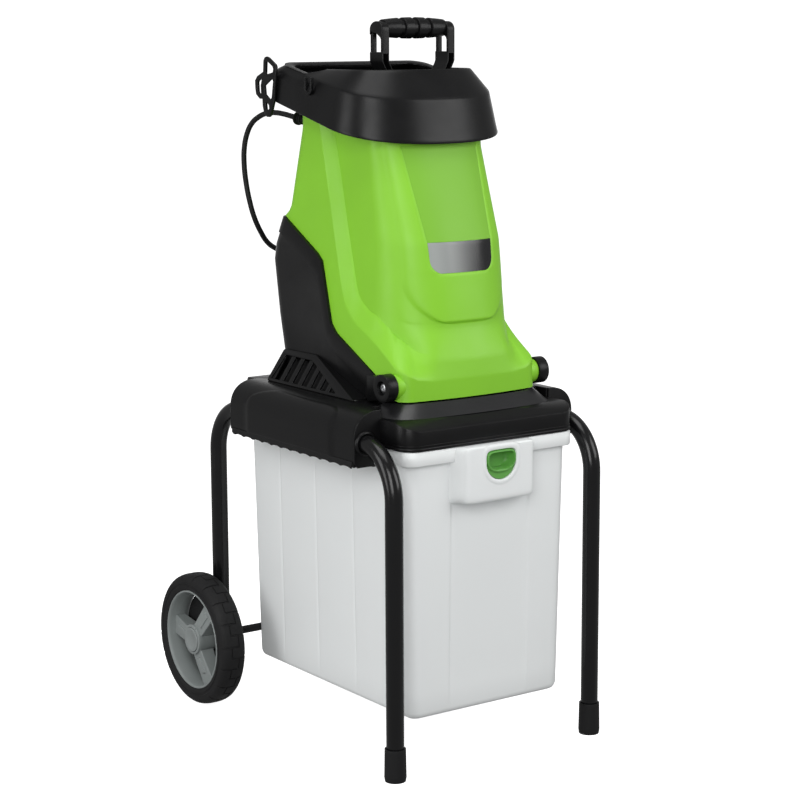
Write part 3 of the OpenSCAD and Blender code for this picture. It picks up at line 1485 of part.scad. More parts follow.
side_frame_left();
side_frame_right();
front_foot_left();
front_foot_right();
leg_plugs();
axle();
axle_spacers();
axle_retainers();
wheel_hub_left();
wheel_hub_right();
wheel_tyre_left();
wheel_tyre_right();
wheel_cap_left();
wheel_cap_right();
deck();
frame_screws();
collection_box();
box_lock();
interlock_switch();
motor_housing();
vent_grille_left();
vent_grille_right();
housing_screws();
hinge_bolts();
bearing_plate();
motor_can();
motor_stator();
shaft_bearings();
brush_holders();
motor_shaft();
armature();
commutator();
cooling_fan();
blade_disc();
cutter_blades();
blade_screws();
disc_bolt();
hopper_body();
hopper_hood();
hood_screws();
feed_chute();
pusher_handle();
pusher_paddle();
switch_box();
start_button();
stop_button();
reset_button();
locking_knob();
safety_switch();
cable_hook();
cable_gland();
power_cord();
power_plug();
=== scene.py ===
# %% [markdown]
# A garden shredder: a green hopper that tilts on a black motor housing, over a
# pull-out chip box, all carried by two bent tubes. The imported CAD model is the
# frame of this scene. It gives every size and every joint, so a piece that is
# made here only has to go where the CAD piece already is.

# %% Load the frame
import json
from math import asin, atan2, copysign, cos, pi, radians, sin, sqrt

import bmesh
import bpy
from mathutils import Matrix, Vector


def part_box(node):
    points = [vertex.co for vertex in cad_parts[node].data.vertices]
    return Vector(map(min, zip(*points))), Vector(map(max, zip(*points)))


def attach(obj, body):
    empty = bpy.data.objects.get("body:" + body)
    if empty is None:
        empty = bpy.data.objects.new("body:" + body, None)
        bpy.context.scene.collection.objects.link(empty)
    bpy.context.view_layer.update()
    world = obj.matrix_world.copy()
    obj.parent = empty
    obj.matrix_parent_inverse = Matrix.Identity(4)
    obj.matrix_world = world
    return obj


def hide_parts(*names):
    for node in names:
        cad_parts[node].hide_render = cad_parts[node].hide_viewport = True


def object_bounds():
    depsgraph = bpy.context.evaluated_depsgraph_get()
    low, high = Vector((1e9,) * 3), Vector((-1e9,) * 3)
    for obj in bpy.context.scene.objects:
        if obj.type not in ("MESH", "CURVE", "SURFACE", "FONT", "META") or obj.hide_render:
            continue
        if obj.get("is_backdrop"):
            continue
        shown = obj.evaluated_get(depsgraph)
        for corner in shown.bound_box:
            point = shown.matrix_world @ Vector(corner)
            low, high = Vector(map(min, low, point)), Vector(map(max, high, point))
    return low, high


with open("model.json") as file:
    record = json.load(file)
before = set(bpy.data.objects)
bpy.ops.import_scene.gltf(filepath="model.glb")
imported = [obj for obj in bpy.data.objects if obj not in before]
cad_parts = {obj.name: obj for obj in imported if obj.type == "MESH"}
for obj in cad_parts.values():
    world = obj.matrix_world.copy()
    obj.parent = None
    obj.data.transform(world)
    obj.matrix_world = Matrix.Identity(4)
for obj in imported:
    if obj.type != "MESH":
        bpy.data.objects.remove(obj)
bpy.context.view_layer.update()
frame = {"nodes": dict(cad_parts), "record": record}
nodes = frame["nodes"]

# %% [markdown]
# Sizes are in millimetres and counted from the middle between the legs, as on
# a drawing. The row frame is in metres and has its origin under the middle of
# the whole object, so one function turns the first into the second. Where the
# legs stand is read from the CAD nodes instead of being typed again. A last
# helper puts a new object into the scene.

# %% Places on the machine
SIDES = ((-1, "left"), (1, "right"))
DECK = 503
foot_low, foot_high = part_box("front_foot_right")
axle_low, axle_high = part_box("axle")
LEG_FRONT = (foot_low.y + foot_high.y) / 2
LEG_REAR = (axle_low.y + axle_high.y) / 2
MIDDLE = (LEG_FRONT + LEG_REAR) * 500
scene = bpy.context.scene


def at(x, y, z):
    """A drawing point in millimetres as a point of the row frame in metres."""
    return Vector((x, y + MIDDLE, z)) / 1000


def on_deck(x, y, h):
    """The same, with the height counted from the deck's top."""
    return at(x, y, DECK + h)


def add_object(name, data):
    """A new object in the scene."""
    thing = bpy.data.objects.new(name, data)
    scene.collection.objects.link(thing)
    return thing


print("middle of the wheelbase at y =", round(MIDDLE, 2), "mm")

# %% [markdown]
# The camera stands where the photographer stood: in front and to the left, a
# little above the hood, looking down by ten degrees. A long lens keeps the
# legs nearly parallel. The three directions of the view make up the rotation.

# %% Camera
VIEW_TURN = radians(35.19)
VIEW_DOWN = radians(9.95)
VIEW_ROLL = radians(-0.27)
VIEW_FROM = at(-1770, -2511, 1017)
LENS, SENSOR = 96, 36

forward = Vector((sin(VIEW_TURN) * cos(VIEW_DOWN), cos(VIEW_TURN) * cos(VIEW_DOWN),
                  -sin(VIEW_DOWN)))
level = Vector((cos(VIEW_TURN), -sin(VIEW_TURN), 0))
upward = level.cross(forward)
right = level * cos(VIEW_ROLL) + upward * sin(VIEW_ROLL)
upward = right.cross(forward)

camera = add_object("camera", bpy.data.cameras.new("camera"))
camera.data.lens, camera.data.sensor_width = LENS, SENSOR
look = Matrix((right, upward, -forward)).transposed().to_4x4()
camera.matrix_world = Matrix.Translation(VIEW_FROM) @ look
scene.camera = camera
print("camera at", [round(v, 2) for v in VIEW_FROM])

# %% [markdown]
# The power lead leaves the hopper through a ribbed sleeve, passes the cable
# hook and hangs behind the housing. It is a curve with a round section, which
# is the usual way to draw a cable in Blender. Its points are those of the CAD
# solid, so that both lie in the same place.

# %% Power lead
LEAD_MOUTH = (-88, 105, 380)
LEAD_ROUTE = [
    (0, 0, 0), (0, 13, 1.4), (0, 26, 2.8), (-2, 39, 5), (-4.5, 54.5, 7.5), (-7.5, 73.5, 9),
    (-10.5, 93, 7.5), (-13.5, 111, 1.5), (-17, 125, -8.5), (-20, 134, -24), (-22, 139, -45), (-21.5, 141, -70),
    (-19, 140.5, -97), (-15, 138, -124), (-8.5, 136, -149), (3, 137, -171.5), (18, 142, -189), (36.5, 148, -200),
    (56.5, 152, -207.5), (78, 153.5, -215), (98.5, 152.5, -225), (116, 150.5, -238), (128.5, 148, -255),
    (133, 146.5, -278)]
LEAD_D = 8

curve = bpy.data.curves.new("power_lead", "CURVE")
curve.dimensions = "3D"
curve.bevel_depth = 1
curve.bevel_resolution = 6
curve.resolution_u = 8
curve.use_fill_caps = True
spline = curve.splines.new("BEZIER")
spline.bezier_points.add(len(LEAD_ROUTE) - 1)
for knot, point in zip(spline.bezier_points, LEAD_ROUTE):
    knot.co = on_deck(*(a + b for a, b in zip(LEAD_MOUTH, point)))
    knot.radius = LEAD_D / 2000
    knot.handle_left_type = knot.handle_right_type = "AUTO"
lead = add_object("power_lead", curve)
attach(lead, "upper")
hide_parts("power_cord")
bpy.context.view_layer.update()

# %% [markdown]
# The studio is a grey room with a white wall behind the object, so the picture
# has a white ground while the black plastics still have something dark to
# reflect. The wall is a spot of white in the world's shader, round the
# direction in which the lens looks. The pale floor is lit like a light table,
# so it stays white, but it throws no light back onto the object. The
# large key lamp stands in front on the left, and smaller ones fill the rest.

# %% Studio
ROOM_GREY = 0.3
WALL_WHITE = 1.15
WALL_ANGLES = (34, 18)
FLOOR_GLOW = 0.93
FLOOR_CORNERS = ((-9000, -6000), (9000, -6000), (9000, 9000), (-9000, 9000))


def preset(node, **values):
    """Sets some of a node's inputs; an underscore in a name stands for a space."""
    for socket, value in values.items():
        node.inputs[socket.replace("_", " ")].default_value = value
    return node


def map_range(tree, value, span, to=(0, 1)):
    """A shader node that turns one span of values into another."""
    node = preset(tree.nodes.new("ShaderNodeMapRange"), From_Min=span[0], From_Max=span[1], To_Min=to[0], To_Max=to[1])
    tree.links.new(value, node.inputs["Value"])
    return node


scene.view_settings.view_transform = "Standard"
world = bpy.data.worlds.new("studio_room")
world.use_nodes = True
tree = world.node_tree
where = tree.nodes.new("ShaderNodeTexCoord")
facing = tree.nodes.new("ShaderNodeVectorMath")
facing.operation = "DOT_PRODUCT"
facing.inputs[1].default_value = forward
tree.links.new(where.outputs["Generated"], facing.inputs[0])
spot = map_range(tree, facing.outputs["Value"], [cos(radians(a)) for a in WALL_ANGLES],
                 (ROOM_GREY, WALL_WHITE))
room = preset(tree.nodes["Background"], Color=(1, 1, 1, 1))
tree.links.new(spot.outputs["Result"], room.inputs["Strength"])
scene.world = world


def soft_lamp(name, place, aim, size, power):
    """An area lamp at a drawing point, turned towards another."""
    lamp = add_object(name, bpy.data.lights.new(name, "AREA"))
    lamp.data.shape = "RECTANGLE"
    lamp.data.size, lamp.data.size_y = size
    lamp.data.energy = power
    lamp.location = at(*place)
    lamp.rotation_euler = (at(*aim) - at(*place)).to_track_quat("-Z", "Y").to_euler()


soft_lamp("key_lamp", (-1850, -1950, 1500), (0, 0, 600), (1.2, 1.8), 32)
soft_lamp("front_lamp", (1500, -2000, 1700), (0, 0, 650), (1.5, 1.5), 25)
soft_lamp("left_lamp", (-2450, 350, 1100), (0, 0, 600), (1, 1.8), 18)
soft_lamp("top_lamp", (-300, -300, 3000), (0, 0, 600), (1.6, 1.6), 22)

floor_mesh = bpy.data.meshes.new("studio_floor")
floor_mesh.from_pydata([tuple(at(x, y, 0)) for x, y in FLOOR_CORNERS], [], [(0, 1, 2, 3)])
floor = add_object("studio_floor", floor_mesh)
floor.visible_diffuse = floor.visible_glossy = False
floor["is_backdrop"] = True
print("studio: world, floor and four lamps")

# %% [markdown]
# All the plastics share one recipe. A fine noise is the moulding grain, as a
# bump. A broad noise changes the gloss a little from place to place, because
# no moulded part is equally shiny all over. A third, softer one lightens and
# darkens the colour by a few parts in a hundred.

# %% Finishes
GLOSS_NOISE = (28, 3)
TINT_NOISE = (9, 2)
GRAIN_DETAIL = 4
GRAIN_DEPTH = 0.0004

for imported in list(bpy.data.materials):
    bpy.data.materials.remove(imported)


def linear(code):
    """A colour written as a web code, as the linear numbers that a shader wants."""
    parts = [int(code[i:i + 2], 16) / 255 for i in (1, 3, 5)]
    return tuple(((p + 0.055) / 1.055) ** 2.4 if p > 0.04 else p / 12.92 for p in parts) + (1,)


def finish(name, code, gloss=(0.35, 0.5), grain=0.1, grain_scale=700, shade=0.08, metal=0, shine=0.5):
    """A material with a grain, an uneven gloss and a slightly uneven colour."""
    mat = bpy.data.materials.new(name)
    mat.use_nodes = True
    tree = mat.node_tree
    shader = preset(tree.nodes["Principled BSDF"], Metallic=metal, Specular_IOR_Level=shine)
    where = tree.nodes.new("ShaderNodeTexCoord")

    def noise(scale, detail):
        node = preset(tree.nodes.new("ShaderNodeTexNoise"), Scale=scale, Detail=detail)
        tree.links.new(where.outputs["Object"], node.inputs["Vector"])
        return node.outputs["Fac"]

    uneven = map_range(tree, noise(*GLOSS_NOISE), (0.3, 0.7), gloss)
    tree.links.new(uneven.outputs["Result"], shader.inputs["Roughness"])

    tint = tree.nodes.new("ShaderNodeMix")
    tint.data_type = "RGBA"
    dark, pale = ([min(1, c * change) for c in linear(code)[:3]] + [1] for change in (1 - shade, 1 + shade))
    preset(tint, A=dark, B=pale)
    tree.links.new(noise(*TINT_NOISE), tint.inputs["Factor"])
    tree.links.new(tint.outputs["Result"], shader.inputs["Base Color"])

    bump = preset(tree.nodes.new("ShaderNodeBump"), Strength=grain, Distance=GRAIN_DEPTH)
    tree.links.new(noise(grain_scale, GRAIN_DETAIL), bump.inputs["Height"])
    tree.links.new(bump.outputs["Normal"], shader.inputs["Normal"])
    return mat


shell_green = finish("shell_green", "#8AD02C", gloss=(0.42, 0.5), grain=0.12)
shell_black = finish("shell_black", "#0F0F10", gloss=(0.29, 0.37), grain=0.16, shine=0.25)
lock_green = finish("lock_green", "#62A64A", gloss=(0.3, 0.4))
box_white = finish("box_white", "#F4F7F7", gloss=(0.4, 0.5), shade=0.015)
rubber_black = finish("rubber_black", "#151516", gloss=(0.55, 0.7), grain=0.3, shine=0.3)
tyre_black = finish("tyre_black", "#19191A", gloss=(0.6, 0.75), grain=0.35, shine=0.3)
wheel_grey = finish("wheel_grey", "#8C9291", gloss=(0.35, 0.45))
zinc_steel = finish("zinc_steel", "#B9BABC", gloss=(0.25, 0.4), metal=1)
cord_black = finish("cord_black", "#131314", gloss=(0.45, 0.6), grain=0.25, shine=0.3)
floor_white = finish("floor_white", "#E6E6E6", gloss=(0.7, 0.8), grain=0, shade=0.01)
finish("tube_black", "#101011", gloss=(0.16, 0.24), grain=0.05, grain_scale=250, shine=0.4)
for name, code, gloss, metal in (
        ("tool_steel", "#A9ABAE", (0.2, 0.35), 1), ("plate_alloy", "#B4B6B8", (0.4, 0.55), 1),
        ("lamination", "#4A4B4D", (0.5, 0.6), 0.8), ("winding", "#B0602C", (0.25, 0.4), 0.9),
        ("stop_red", "#B81E1E", (0.25, 0.35), 0)):
    finish(name, code, gloss, metal=metal)
preset(floor_white.node_tree.nodes["Principled BSDF"], Emission_Color=(1, 1, 1, 1), Emission_Strength=FLOOR_GLOW)
floor_mesh.materials.append(floor_white)
lead.data.materials.append(cord_black)
print("finishes:", len(bpy.data.materials))

# %% [markdown]
# Each CAD piece that stays in view takes the finish of its material slot in
# the record. Real edges are never perfectly sharp, so a bevel rounds them
# and they catch a line of light. The weld comes first, because an imported
# mesh has its faces apart.

# %% Finish the CAD pieces
WELD_GAP = 0.00002
EDGE_ROUND = 0.6
CREASE = radians(32)
smoother = bpy.data.node_groups.new("smooth_faces", "GeometryNodeTree")
for way in ("INPUT", "OUTPUT"):
    smoother.interface.new_socket("Geometry", in_out=way, socket_type="NodeSocketGeometry")
source, result = smoother.nodes.new("NodeGroupInput"), smoother.nodes.new("NodeGroupOutput")
plain = preset(smoother.nodes.new("GeometryNodeRemoveAttribute"), Name="custom_normal")
bend = smoother.nodes.new("GeometryNodeInputMeshEdgeAngle")
gentle = smoother.nodes.new("FunctionNodeCompare")
gentle.operation = "LESS_THAN"
preset(gentle, B=CREASE)
all_faces, soft_edges = (smoother.nodes.new("GeometryNodeSetShadeSmooth") for _ in range(2))
all_faces.domain, soft_edges.domain = "FACE", "EDGE"
for a, b in ((source.outputs[0], plain.inputs["Geometry"]), (plain.outputs[0], all_faces.inputs["Geometry"]),
             (all_faces.outputs[0], soft_edges.inputs["Geometry"]), (soft_edges.outputs[0], result.inputs[0]),
             (bend.outputs["Unsigned Angle"], gentle.inputs["A"]),
             (gentle.outputs[0], soft_edges.inputs["Shade Smooth"])):
    smoother.links.new(a, b)


def bevel(piece, width, segments=2):
    """Rounds a piece's edges by a width in millimetres."""
    rounding = piece.modifiers.new("round", "BEVEL")
    rounding.width = width / 1000
    rounding.segments = segments
    rounding.limit_method = "ANGLE"
    return rounding


for part in frame["record"]["subparts"]:
    piece = nodes[part["node"]]
    piece.data.materials.clear()
    piece.data.materials.append(bpy.data.materials[part["material_slot"]])
    piece.modifiers.new("weld", "WELD").merge_threshold = WELD_GAP
    bevel(piece, EDGE_ROUND).angle_limit = CREASE
    piece.modifiers.new("shade", "NODES").node_group = smoother

# %% [markdown]
# The green hopper body is one moulding with a clear order of forms: a tower
# with a rounded front, a slope at the tower's foot, and an upright skirt that
# also covers the rear. A flat band, like a wide chamfer, runs down the side
# between tower and skirt, turns, and goes on round the front. These functions
# say where each form lies, as a place across the machine and a height.

# %% Forms of the hopper body
HOPPER_TOP = 352
TOWER_FOOT = 102
SLOPE_END = 62
SLOPE_OUT = 0.8
SKIRT_FRONT = 183
SKIRT_BOW = 10
SKIRT_CORNER = 24
SKIRT_LOW = 7
SKIRT_HALF, SKIRT_HALF_TOP = 119.5, 103.5
WALL = 3
PANEL_HALF = 86
PANEL_FOOT = 108
PANEL_CORNER = 60
PANEL_RISE = 4
PANEL_BEVEL = 4
LABEL_FOOT = 177
LABEL_CORNER = 18
LABEL_DEEP = 1.3
REAR_CORNER = 25
HOOD_SEAT = HOPPER_TOP + 12
TOWER_HALVES = (106, 93)
TOWER_POWER = 2.3
TOWER_FRONT = [(102, 168), (219, 150), (352, 102)]
TOWER_DEPTH = [(102, 88), (352, 45)]
BODY_REAR = [(241, 151), (249, 140), (258, 134), (370, 109)]


def mix(a, b, t):
    """The value at a share t of the way from a to b."""
    return a + (b - a) * t


def share(v, low, high):
    """How far v is on the way from low to high, from 0 to 1."""
    return max(0, min(1, (v - low) / (high - low)))


def lookup(v, table):
    """The value at v on straight lines through a table of pairs."""
    for (a, p), (b, q) in zip(table, table[1:]):
        if v <= b:
            return mix(p, q, share(v, a, b))
    return table[-1][1]


def spread(a, b, count):
    """Evenly spaced values from a to b, without a itself."""
    return [mix(a, b, k / count) for k in range(1, count + 1)]


def ticks(start, *stretches):
    """Spaced values in stretches, each one with its end and its count, without the start itself."""
    out = []
    for end, count in stretches:
        out += spread(start, end, count)
        start = end
    return out


def swell(u, power):
    """How far a bulging front falls back at a share u of its half width."""
    return 1 - max(0, 1 - min(1, u) ** power) ** (1 / power)


def tower_half(h):
    """Half the tower's width at a height."""
    return mix(*TOWER_HALVES, share(h, TOWER_FOOT, HOPPER_TOP))


def skirt_half(h):
    """Half the skirt's width at a height."""
    return mix(SKIRT_HALF, SKIRT_HALF_TOP, share(h, SKIRT_LOW, HOPPER_TOP + 20))


def tower_skin(u, h):
    """A point of the tower, or of the slope at its foot, at a share u of its half width."""
    k = max(h, TOWER_FOOT)
    x, y = u * tower_half(k), -lookup(k, TOWER_FRONT) + lookup(k, TOWER_DEPTH) * swell(u, TOWER_POWER)
    s = share(u, 0.5, 0.97)
    out = SLOPE_OUT * (1 - s * s * (3 - 2 * s)) * share(-h, -TOWER_FOOT, -SLOPE_END)
    return Vector((mix(x, u * skirt_half(h), out), mix(y, -SKIRT_FRONT + SKIRT_BOW * u * u, out), h))


print("tower front at the slope's end:", [round(v, 1) for v in tower_skin(0, SLOPE_END)])

# %% [markdown]
# Each form is drawn as rows of points that follow its own lines, and these
# become a mesh of four-sided faces. A row can be closed into a ring, the last
# row can be joined to the first, and end rows can be capped. The helpers make
# the mesh, keep its sharp creases and hang it on one of the frame's bodies.

# %% Helpers for mesh pieces
SAME_PLACE = 0.000005


def new_piece(name, points, faces, material, body, stands_for=(), slot=None, smooth=40):
    """A mesh piece that rides on a body, with creases sharper than smooth degrees kept."""
    mesh = bpy.data.meshes.new(name)
    mesh.from_pydata([tuple(p) for p in points], [], faces)
    mesh.validate()
    work = bmesh.new()
    work.from_mesh(mesh)
    bmesh.ops.remove_doubles(work, verts=work.verts, dist=SAME_PLACE)
    bmesh.ops.dissolve_degenerate(work, edges=work.edges, dist=SAME_PLACE)
    bmesh.ops.recalc_face_normals(work, faces=work.faces)
    work.edges.index_update()
    borders = [edge.index for edge in work.edges if edge.is_boundary]
    work.to_mesh(mesh)
    work.free()
    mesh.shade_smooth()
    mesh.set_sharp_from_angle(angle=radians(smooth))
    for k in borders:
        mesh.edges[k].use_edge_sharp = True
    piece = add_object(name, mesh)
    mesh.materials.append(material)
    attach(piece, body)
    if stands_for:
        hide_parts(*stands_for)
    return piece


def both_halves(row):
    """A half row of points, front to rear, closed over the mirror plane."""
    return row + [Vector((-p.x, p.y, p.z)) for p in row[-2:0:-1]]


def whole(row):
    """A half row of points from the middle outwards, with its mirror image, left end first."""
    return [Vector((-p.x, p.y, p.z)) for p in row[:0:-1]] + row


def grid_faces(rows, columns, closed=False, looped=False, caps=()):
    """Faces between rows of points, and one face over each row that is named in caps."""
    faces = []
    for j in range(rows if looped else rows - 1):
        here, there = j * columns, (j + 1) % rows * columns
        for i in range(columns if closed else columns - 1):
            k = (i + 1) % columns
            faces.append((here + i, here + k, there + k, there + i))
    return faces + [tuple(j % rows * columns + i for i in range(columns)) for j in caps]


def grid_piece(name, rows, material, body, closed=False, looped=False, caps=(), **more):
    """A mesh piece through rows of points; more goes to new_piece."""
    faces = grid_faces(len(rows), len(rows[0]), closed, looped, caps)
    return new_piece(name, [p for row in rows for p in row], faces, material, body, **more)


def placed(rows, mirror):
    """Half rows of deck points as whole rows of the row frame, mirrored by one of the two functions above."""
    return [[on_deck(*p) for p in mirror(list(row))] for row in rows]


def wall(piece, thickness):
    """Gives a skin its wall, on the inner side, in millimetres."""
    thick = piece.modifiers.new("wall", "SOLIDIFY")
    thick.thickness = thickness / 1000
    thick.offset = -1


print("helpers for grids and walls")

# %% [markdown]
# The tower's front carries a raised panel with round lower corners, and in it
# a shallow recess for the label. The columns of the grid follow the panel's
# and the recess's edges, so each edge is a line of the mesh. A little averaging
# between neighbours gives these edges the round of a mould. Each column starts
# on the band's upper line, so the rows are squeezed there and no face is cut.

# %% Tower of the hopper body
BAND_TOP_FRONT = [(0, 65), (0.5, 66.5), (0.72, 71.7), (0.83, 84), (0.89, 91), (0.977, 111), (1, 122)]
BAND_TOP_SIDE = [(-80, 122), (-68, 128.5), (-54.5, 136.8), (-45.5, 149.2), (-10.5, 255.8), (23.5, 363.6), (60, 480)]
TOWER_END = 26
BAND_TURN = -80
STILL_COLUMNS = (20, 44)
RISING_COLUMNS = (44, 60)
LABEL_HALVES = [(177, 53), (220, 55), (352, 65)]
LABEL_COLUMNS = 12
LABEL_EDGE = 0.4
HOOD_SLOPE = 0.24
HOOD_FRONT = 118


def seat_height(y):
    """Height of the plane on which the hood sits."""
    return HOOD_SEAT + HOOD_SLOPE * (y + HOOD_FRONT)


def rounded_foot(h, foot, radius, half):
    """Half width of a panel whose two lower corners are round."""
    drop = radius * (1 - share(h, foot, foot + radius))
    return half - radius + sqrt(max(0, radius * radius - drop * drop))


def label_half(h):
    """Half the label's width at a height."""
    return rounded_foot(h, LABEL_FOOT, LABEL_CORNER, lookup(h, LABEL_HALVES))


def tower_row(h):
    """Half a row of the tower, from the front middle to the sides."""
    wide = tower_half(h)
    edge, label = rounded_foot(h, PANEL_FOOT, PANEL_CORNER, PANEL_HALF), label_half(max(h, LABEL_FOOT))
    rim = edge - PANEL_BEVEL
    raise_by = PANEL_RISE * share(h, PANEL_FOOT, PANEL_FOOT + PANEL_BEVEL)
    xs = [0] + spread(0, label - LABEL_EDGE, LABEL_COLUMNS) + [label + LABEL_EDGE]
    xs = [min(x, rim) for x in xs] + spread(min(label + LABEL_EDGE, rim), rim, 5)
    flat = len(xs)
    xs += spread(rim, edge, 2)
    turn = asin((edge / wide) ** (TOWER_POWER / 2))
    xs += [wide * sin(a) ** (2 / TOWER_POWER) for a in spread(turn, pi / 2, 26)]
    row = []
    for k, x in enumerate(xs):
        row.append(tower_skin(x / wide, h))
        row[-1].y -= raise_by if k < flat else raise_by / 2 if k == flat else 0
    return row + [Vector((wide, y, h)) for y in spread(row[-1].y, TOWER_END, 14)]


def soften(grid, times):
    """Averages each inner row of a grid of points with its neighbours."""
    for _ in range(times):
        old = [[Vector(p) for p in row] for row in grid]
        for j in range(1, len(grid) - 1):
            for i in range(len(grid[j]) - 1):
                near = (old[j][abs(i - 1)] + old[j][i + 1] + old[j - 1][i] + old[j + 1][i]) / 4
                grid[j][i] = old[j][i].lerp(near, 0.5)
                grid[j][i].x *= i > 0


levels = [62, 66, 71, 77, 84, 90, 95, 99, 102, 104, 106, 107, 107.6, 108.4, 109, 110, 111, 112, 113, 115, 117]
levels += [120 + 4 * k for k in range(14)] + [176.6, 177.4, 178, 179, 180, 182, 184, 187, 191, 195]
levels += [200 + 4.5 * k for k in range(34)]
foot_shares = [p.x / tower_half(TOWER_FOOT) for p in tower_row(TOWER_FOOT)]


def band_top(p, i):
    """Height of the band's upper line at a point in column i of the tower."""
    if p.y > BAND_TURN - 1:
        return lookup(p.y, BAND_TOP_SIDE)
    return lookup(foot_shares[i] if p.z <= TOWER_FOOT else p.x / tower_half(p.z), BAND_TOP_FRONT)


def band_crossing(i):
    """Height at which column i meets the band, found by stepping halfway towards it again and again."""
    h = 90
    for _ in range(30):
        h = mix(h, band_top(tower_row(h)[i], i), 0.5)
    return h


tower = [[] for level in levels]
for i in range(len(foot_shares)):
    foot, still = band_crossing(i), mix(PANEL_FOOT, levels[-1], share(i, *STILL_COLUMNS))
    peak = still + (seat_height(TOWER_END) - 8 - levels[-1]) * share(i, *RISING_COLUMNS)
    for row, level in zip(tower, levels):
        h = level if level > still else mix(foot, peak, share(level, levels[0], still))
        row.append(tower_row(h)[i])
soften(tower, 2)
for row in tower:
    for p in row[:LABEL_COLUMNS + 1]:
        if p.z >= LABEL_FOOT and p.x <= label_half(p.z):
            p.y += LABEL_DEEP
tower.append([Vector((p.x, p.y, seat_height(p.y))) for p in tower[-1]])
hopper = grid_piece("hopper_tower", placed(tower, whole), shell_green, "upper", stands_for=["hopper_body"])
wall(hopper, WALL)
print("tower:", len(hopper.data.polygons), "faces")

# %% [markdown]
# The skirt's columns run down from the tower: over the band, round its edge
# and to the lower border. In front this border is level. Behind the hinge it is
# a short arc about the hinge's axis, so that the skirt clears the housing when
# the hopper tilts, and then it follows the slanting seam to the housing. As
# each column ends on that line by itself, no boolean cut is needed.

# %% Skirt of the hopper body
SEAM = [(-136, 26), (-13, 85), (1, 98), (29, 184), (41, 194), (131, 241), (400, 241)]
SEAM_GAP = 0.3
HINGE = (-154.4, 27.3)
HINGE_CLEAR = 18
BAND_FOOT_SIDE = [(-153, 55), (-114.5, 77.5), (-53, 105.9), (-30.2, 125.6), (-19.5, 149.4), (47, 372.9), (90, 517)]
BAND_STOPS = (0, 0.3, 0.6, 0.88, 0.95)
TUCK_UNDER, TUCK_IN, TUCK_BACK = -0.06, 0.992, 0.8
FRONT_END = SKIRT_HALF - SKIRT_CORNER
CORNER_BOW = 0.64
SIDE_END = 60
NO_BAND = 999


def skirt_bottom(y):
    """Height of the skirt's lower border at a place along the machine."""
    near = y - HINGE[0]
    if near < 0:
        return mix(SKIRT_LOW, HINGE[1] - HINGE_CLEAR, share(near, -10, 0))
    if near < HINGE_CLEAR:
        return HINGE[1] - sqrt(HINGE_CLEAR ** 2 - near ** 2)
    return lookup(y, SEAM) + SEAM_GAP


def front_column(x):
    """A column of the skirt: a point's place at a height, its share of the tower, and the band's foot."""
    return (lambda h: (x * skirt_half(h) / SKIRT_HALF, -SKIRT_FRONT + SKIRT_BOW * (x / SKIRT_HALF) ** 2),
            x / SKIRT_HALF, lookup(x, [(70, 34), (FRONT_END, 38)]))


def corner_column(a):
    """The same for a column of the front corner, at an angle."""
    def place(h):
        half, r = skirt_half(h), SKIRT_CORNER
        return half - r + r * sin(a), -SKIRT_FRONT + SKIRT_BOW * CORNER_BOW + r - r * cos(a)
    t = a / (pi / 2)
    return place, mix(0.8, 0.9, t), mix(38, 55, t)


def side_column(y):
    """The same for a column of the side."""
    on_tower = mix(0.9, 1, share(y, -153, BAND_TURN)) if y < BAND_TURN else None
    return lambda h: (skirt_half(h), y), on_tower, lookup(y, BAND_FOOT_SIDE)


def rear_column(s, a):
    """A column behind the band: s leads along the side, a round the rear corner, then s across the rear."""
    def place(h):
        half, rear = skirt_half(h) - REAR_CORNER, lookup(h, BODY_REAR)
        if a is None:
            return half * s, rear
        return half + REAR_CORNER * cos(a), mix(SIDE_END, rear - REAR_CORNER, s) + REAR_CORNER * sin(a)
    return place, None, NO_BAND


columns = [front_column(x) for x in [0] + spread(0, FRONT_END, 22)]
columns += [corner_column(a) for a in spread(0, pi / 2, 10)]
columns += [side_column(y) for y in ticks(-152.6, (-136.4, 6), (-136, 1), (BAND_TURN, 10), (-13, 14), (1, 6), (29, 8),
                                          (41, 4), (SIDE_END, 4))]
columns += [rear_column(s, 0) for s in spread(0, 1, 7)] + [rear_column(1, a) for a in spread(0, pi / 2, 9)]
columns += [rear_column(s, None) for s in spread(1, 0, 8)]
skirt = []
for place, on_tower, foot in columns:
    def skin(h):
        return Vector((*place(h), h))

    top = seat_height(skin(HOOD_SEAT).y)
    low = skirt_bottom(skin(skirt_bottom(skin(SEAM[-1][1]).y)).y)
    foot = min(foot, top)
    edge = skin(foot)
    if on_tower is not None:
        start = tower_skin(on_tower, lookup(on_tower, BAND_TOP_FRONT))
    else:
        h = lookup(edge.y, BAND_TOP_SIDE)
        start = Vector((tower_half(h), edge.y, h))
    line = [start.lerp(edge, t) if start.z > foot else edge for t in BAND_STOPS]
    if start.z > top:
        line = [start.lerp(edge, mix(share(-top, -start.z, -foot), 1, t)) for t in BAND_STOPS]
    tuck = line[0].lerp(edge, TUCK_UNDER)
    tuck.x *= TUCK_IN
    tuck.y += TUCK_BACK if on_tower is not None else 0
    skirt.append([tuck] + line + [skin(h) for h in [foot - 0.9, foot - 2] + spread(foot - 2, low, 22)])
skirt = grid_piece("hopper_skirt", placed(zip(*skirt), both_halves), shell_green, "upper", closed=True)
wall(skirt, WALL)
print("skirt:", len(skirt.data.polygons), "faces")

# %% [markdown]
# The hood is a black moulding that caps the body. Its skirt flares downwards,
# a visor leans in over the front of the mouth, and behind the visor the skirt's
# own rim is the edge. Seen from above it is a rounded box with a bulging front,
# so it is a loft again: the same outline, drawn in by a little more in each row.
# The rows run up the outside, over the edge, down the inside to the seat, and
# back under the seat, so the wall is closed and has its real thickness.

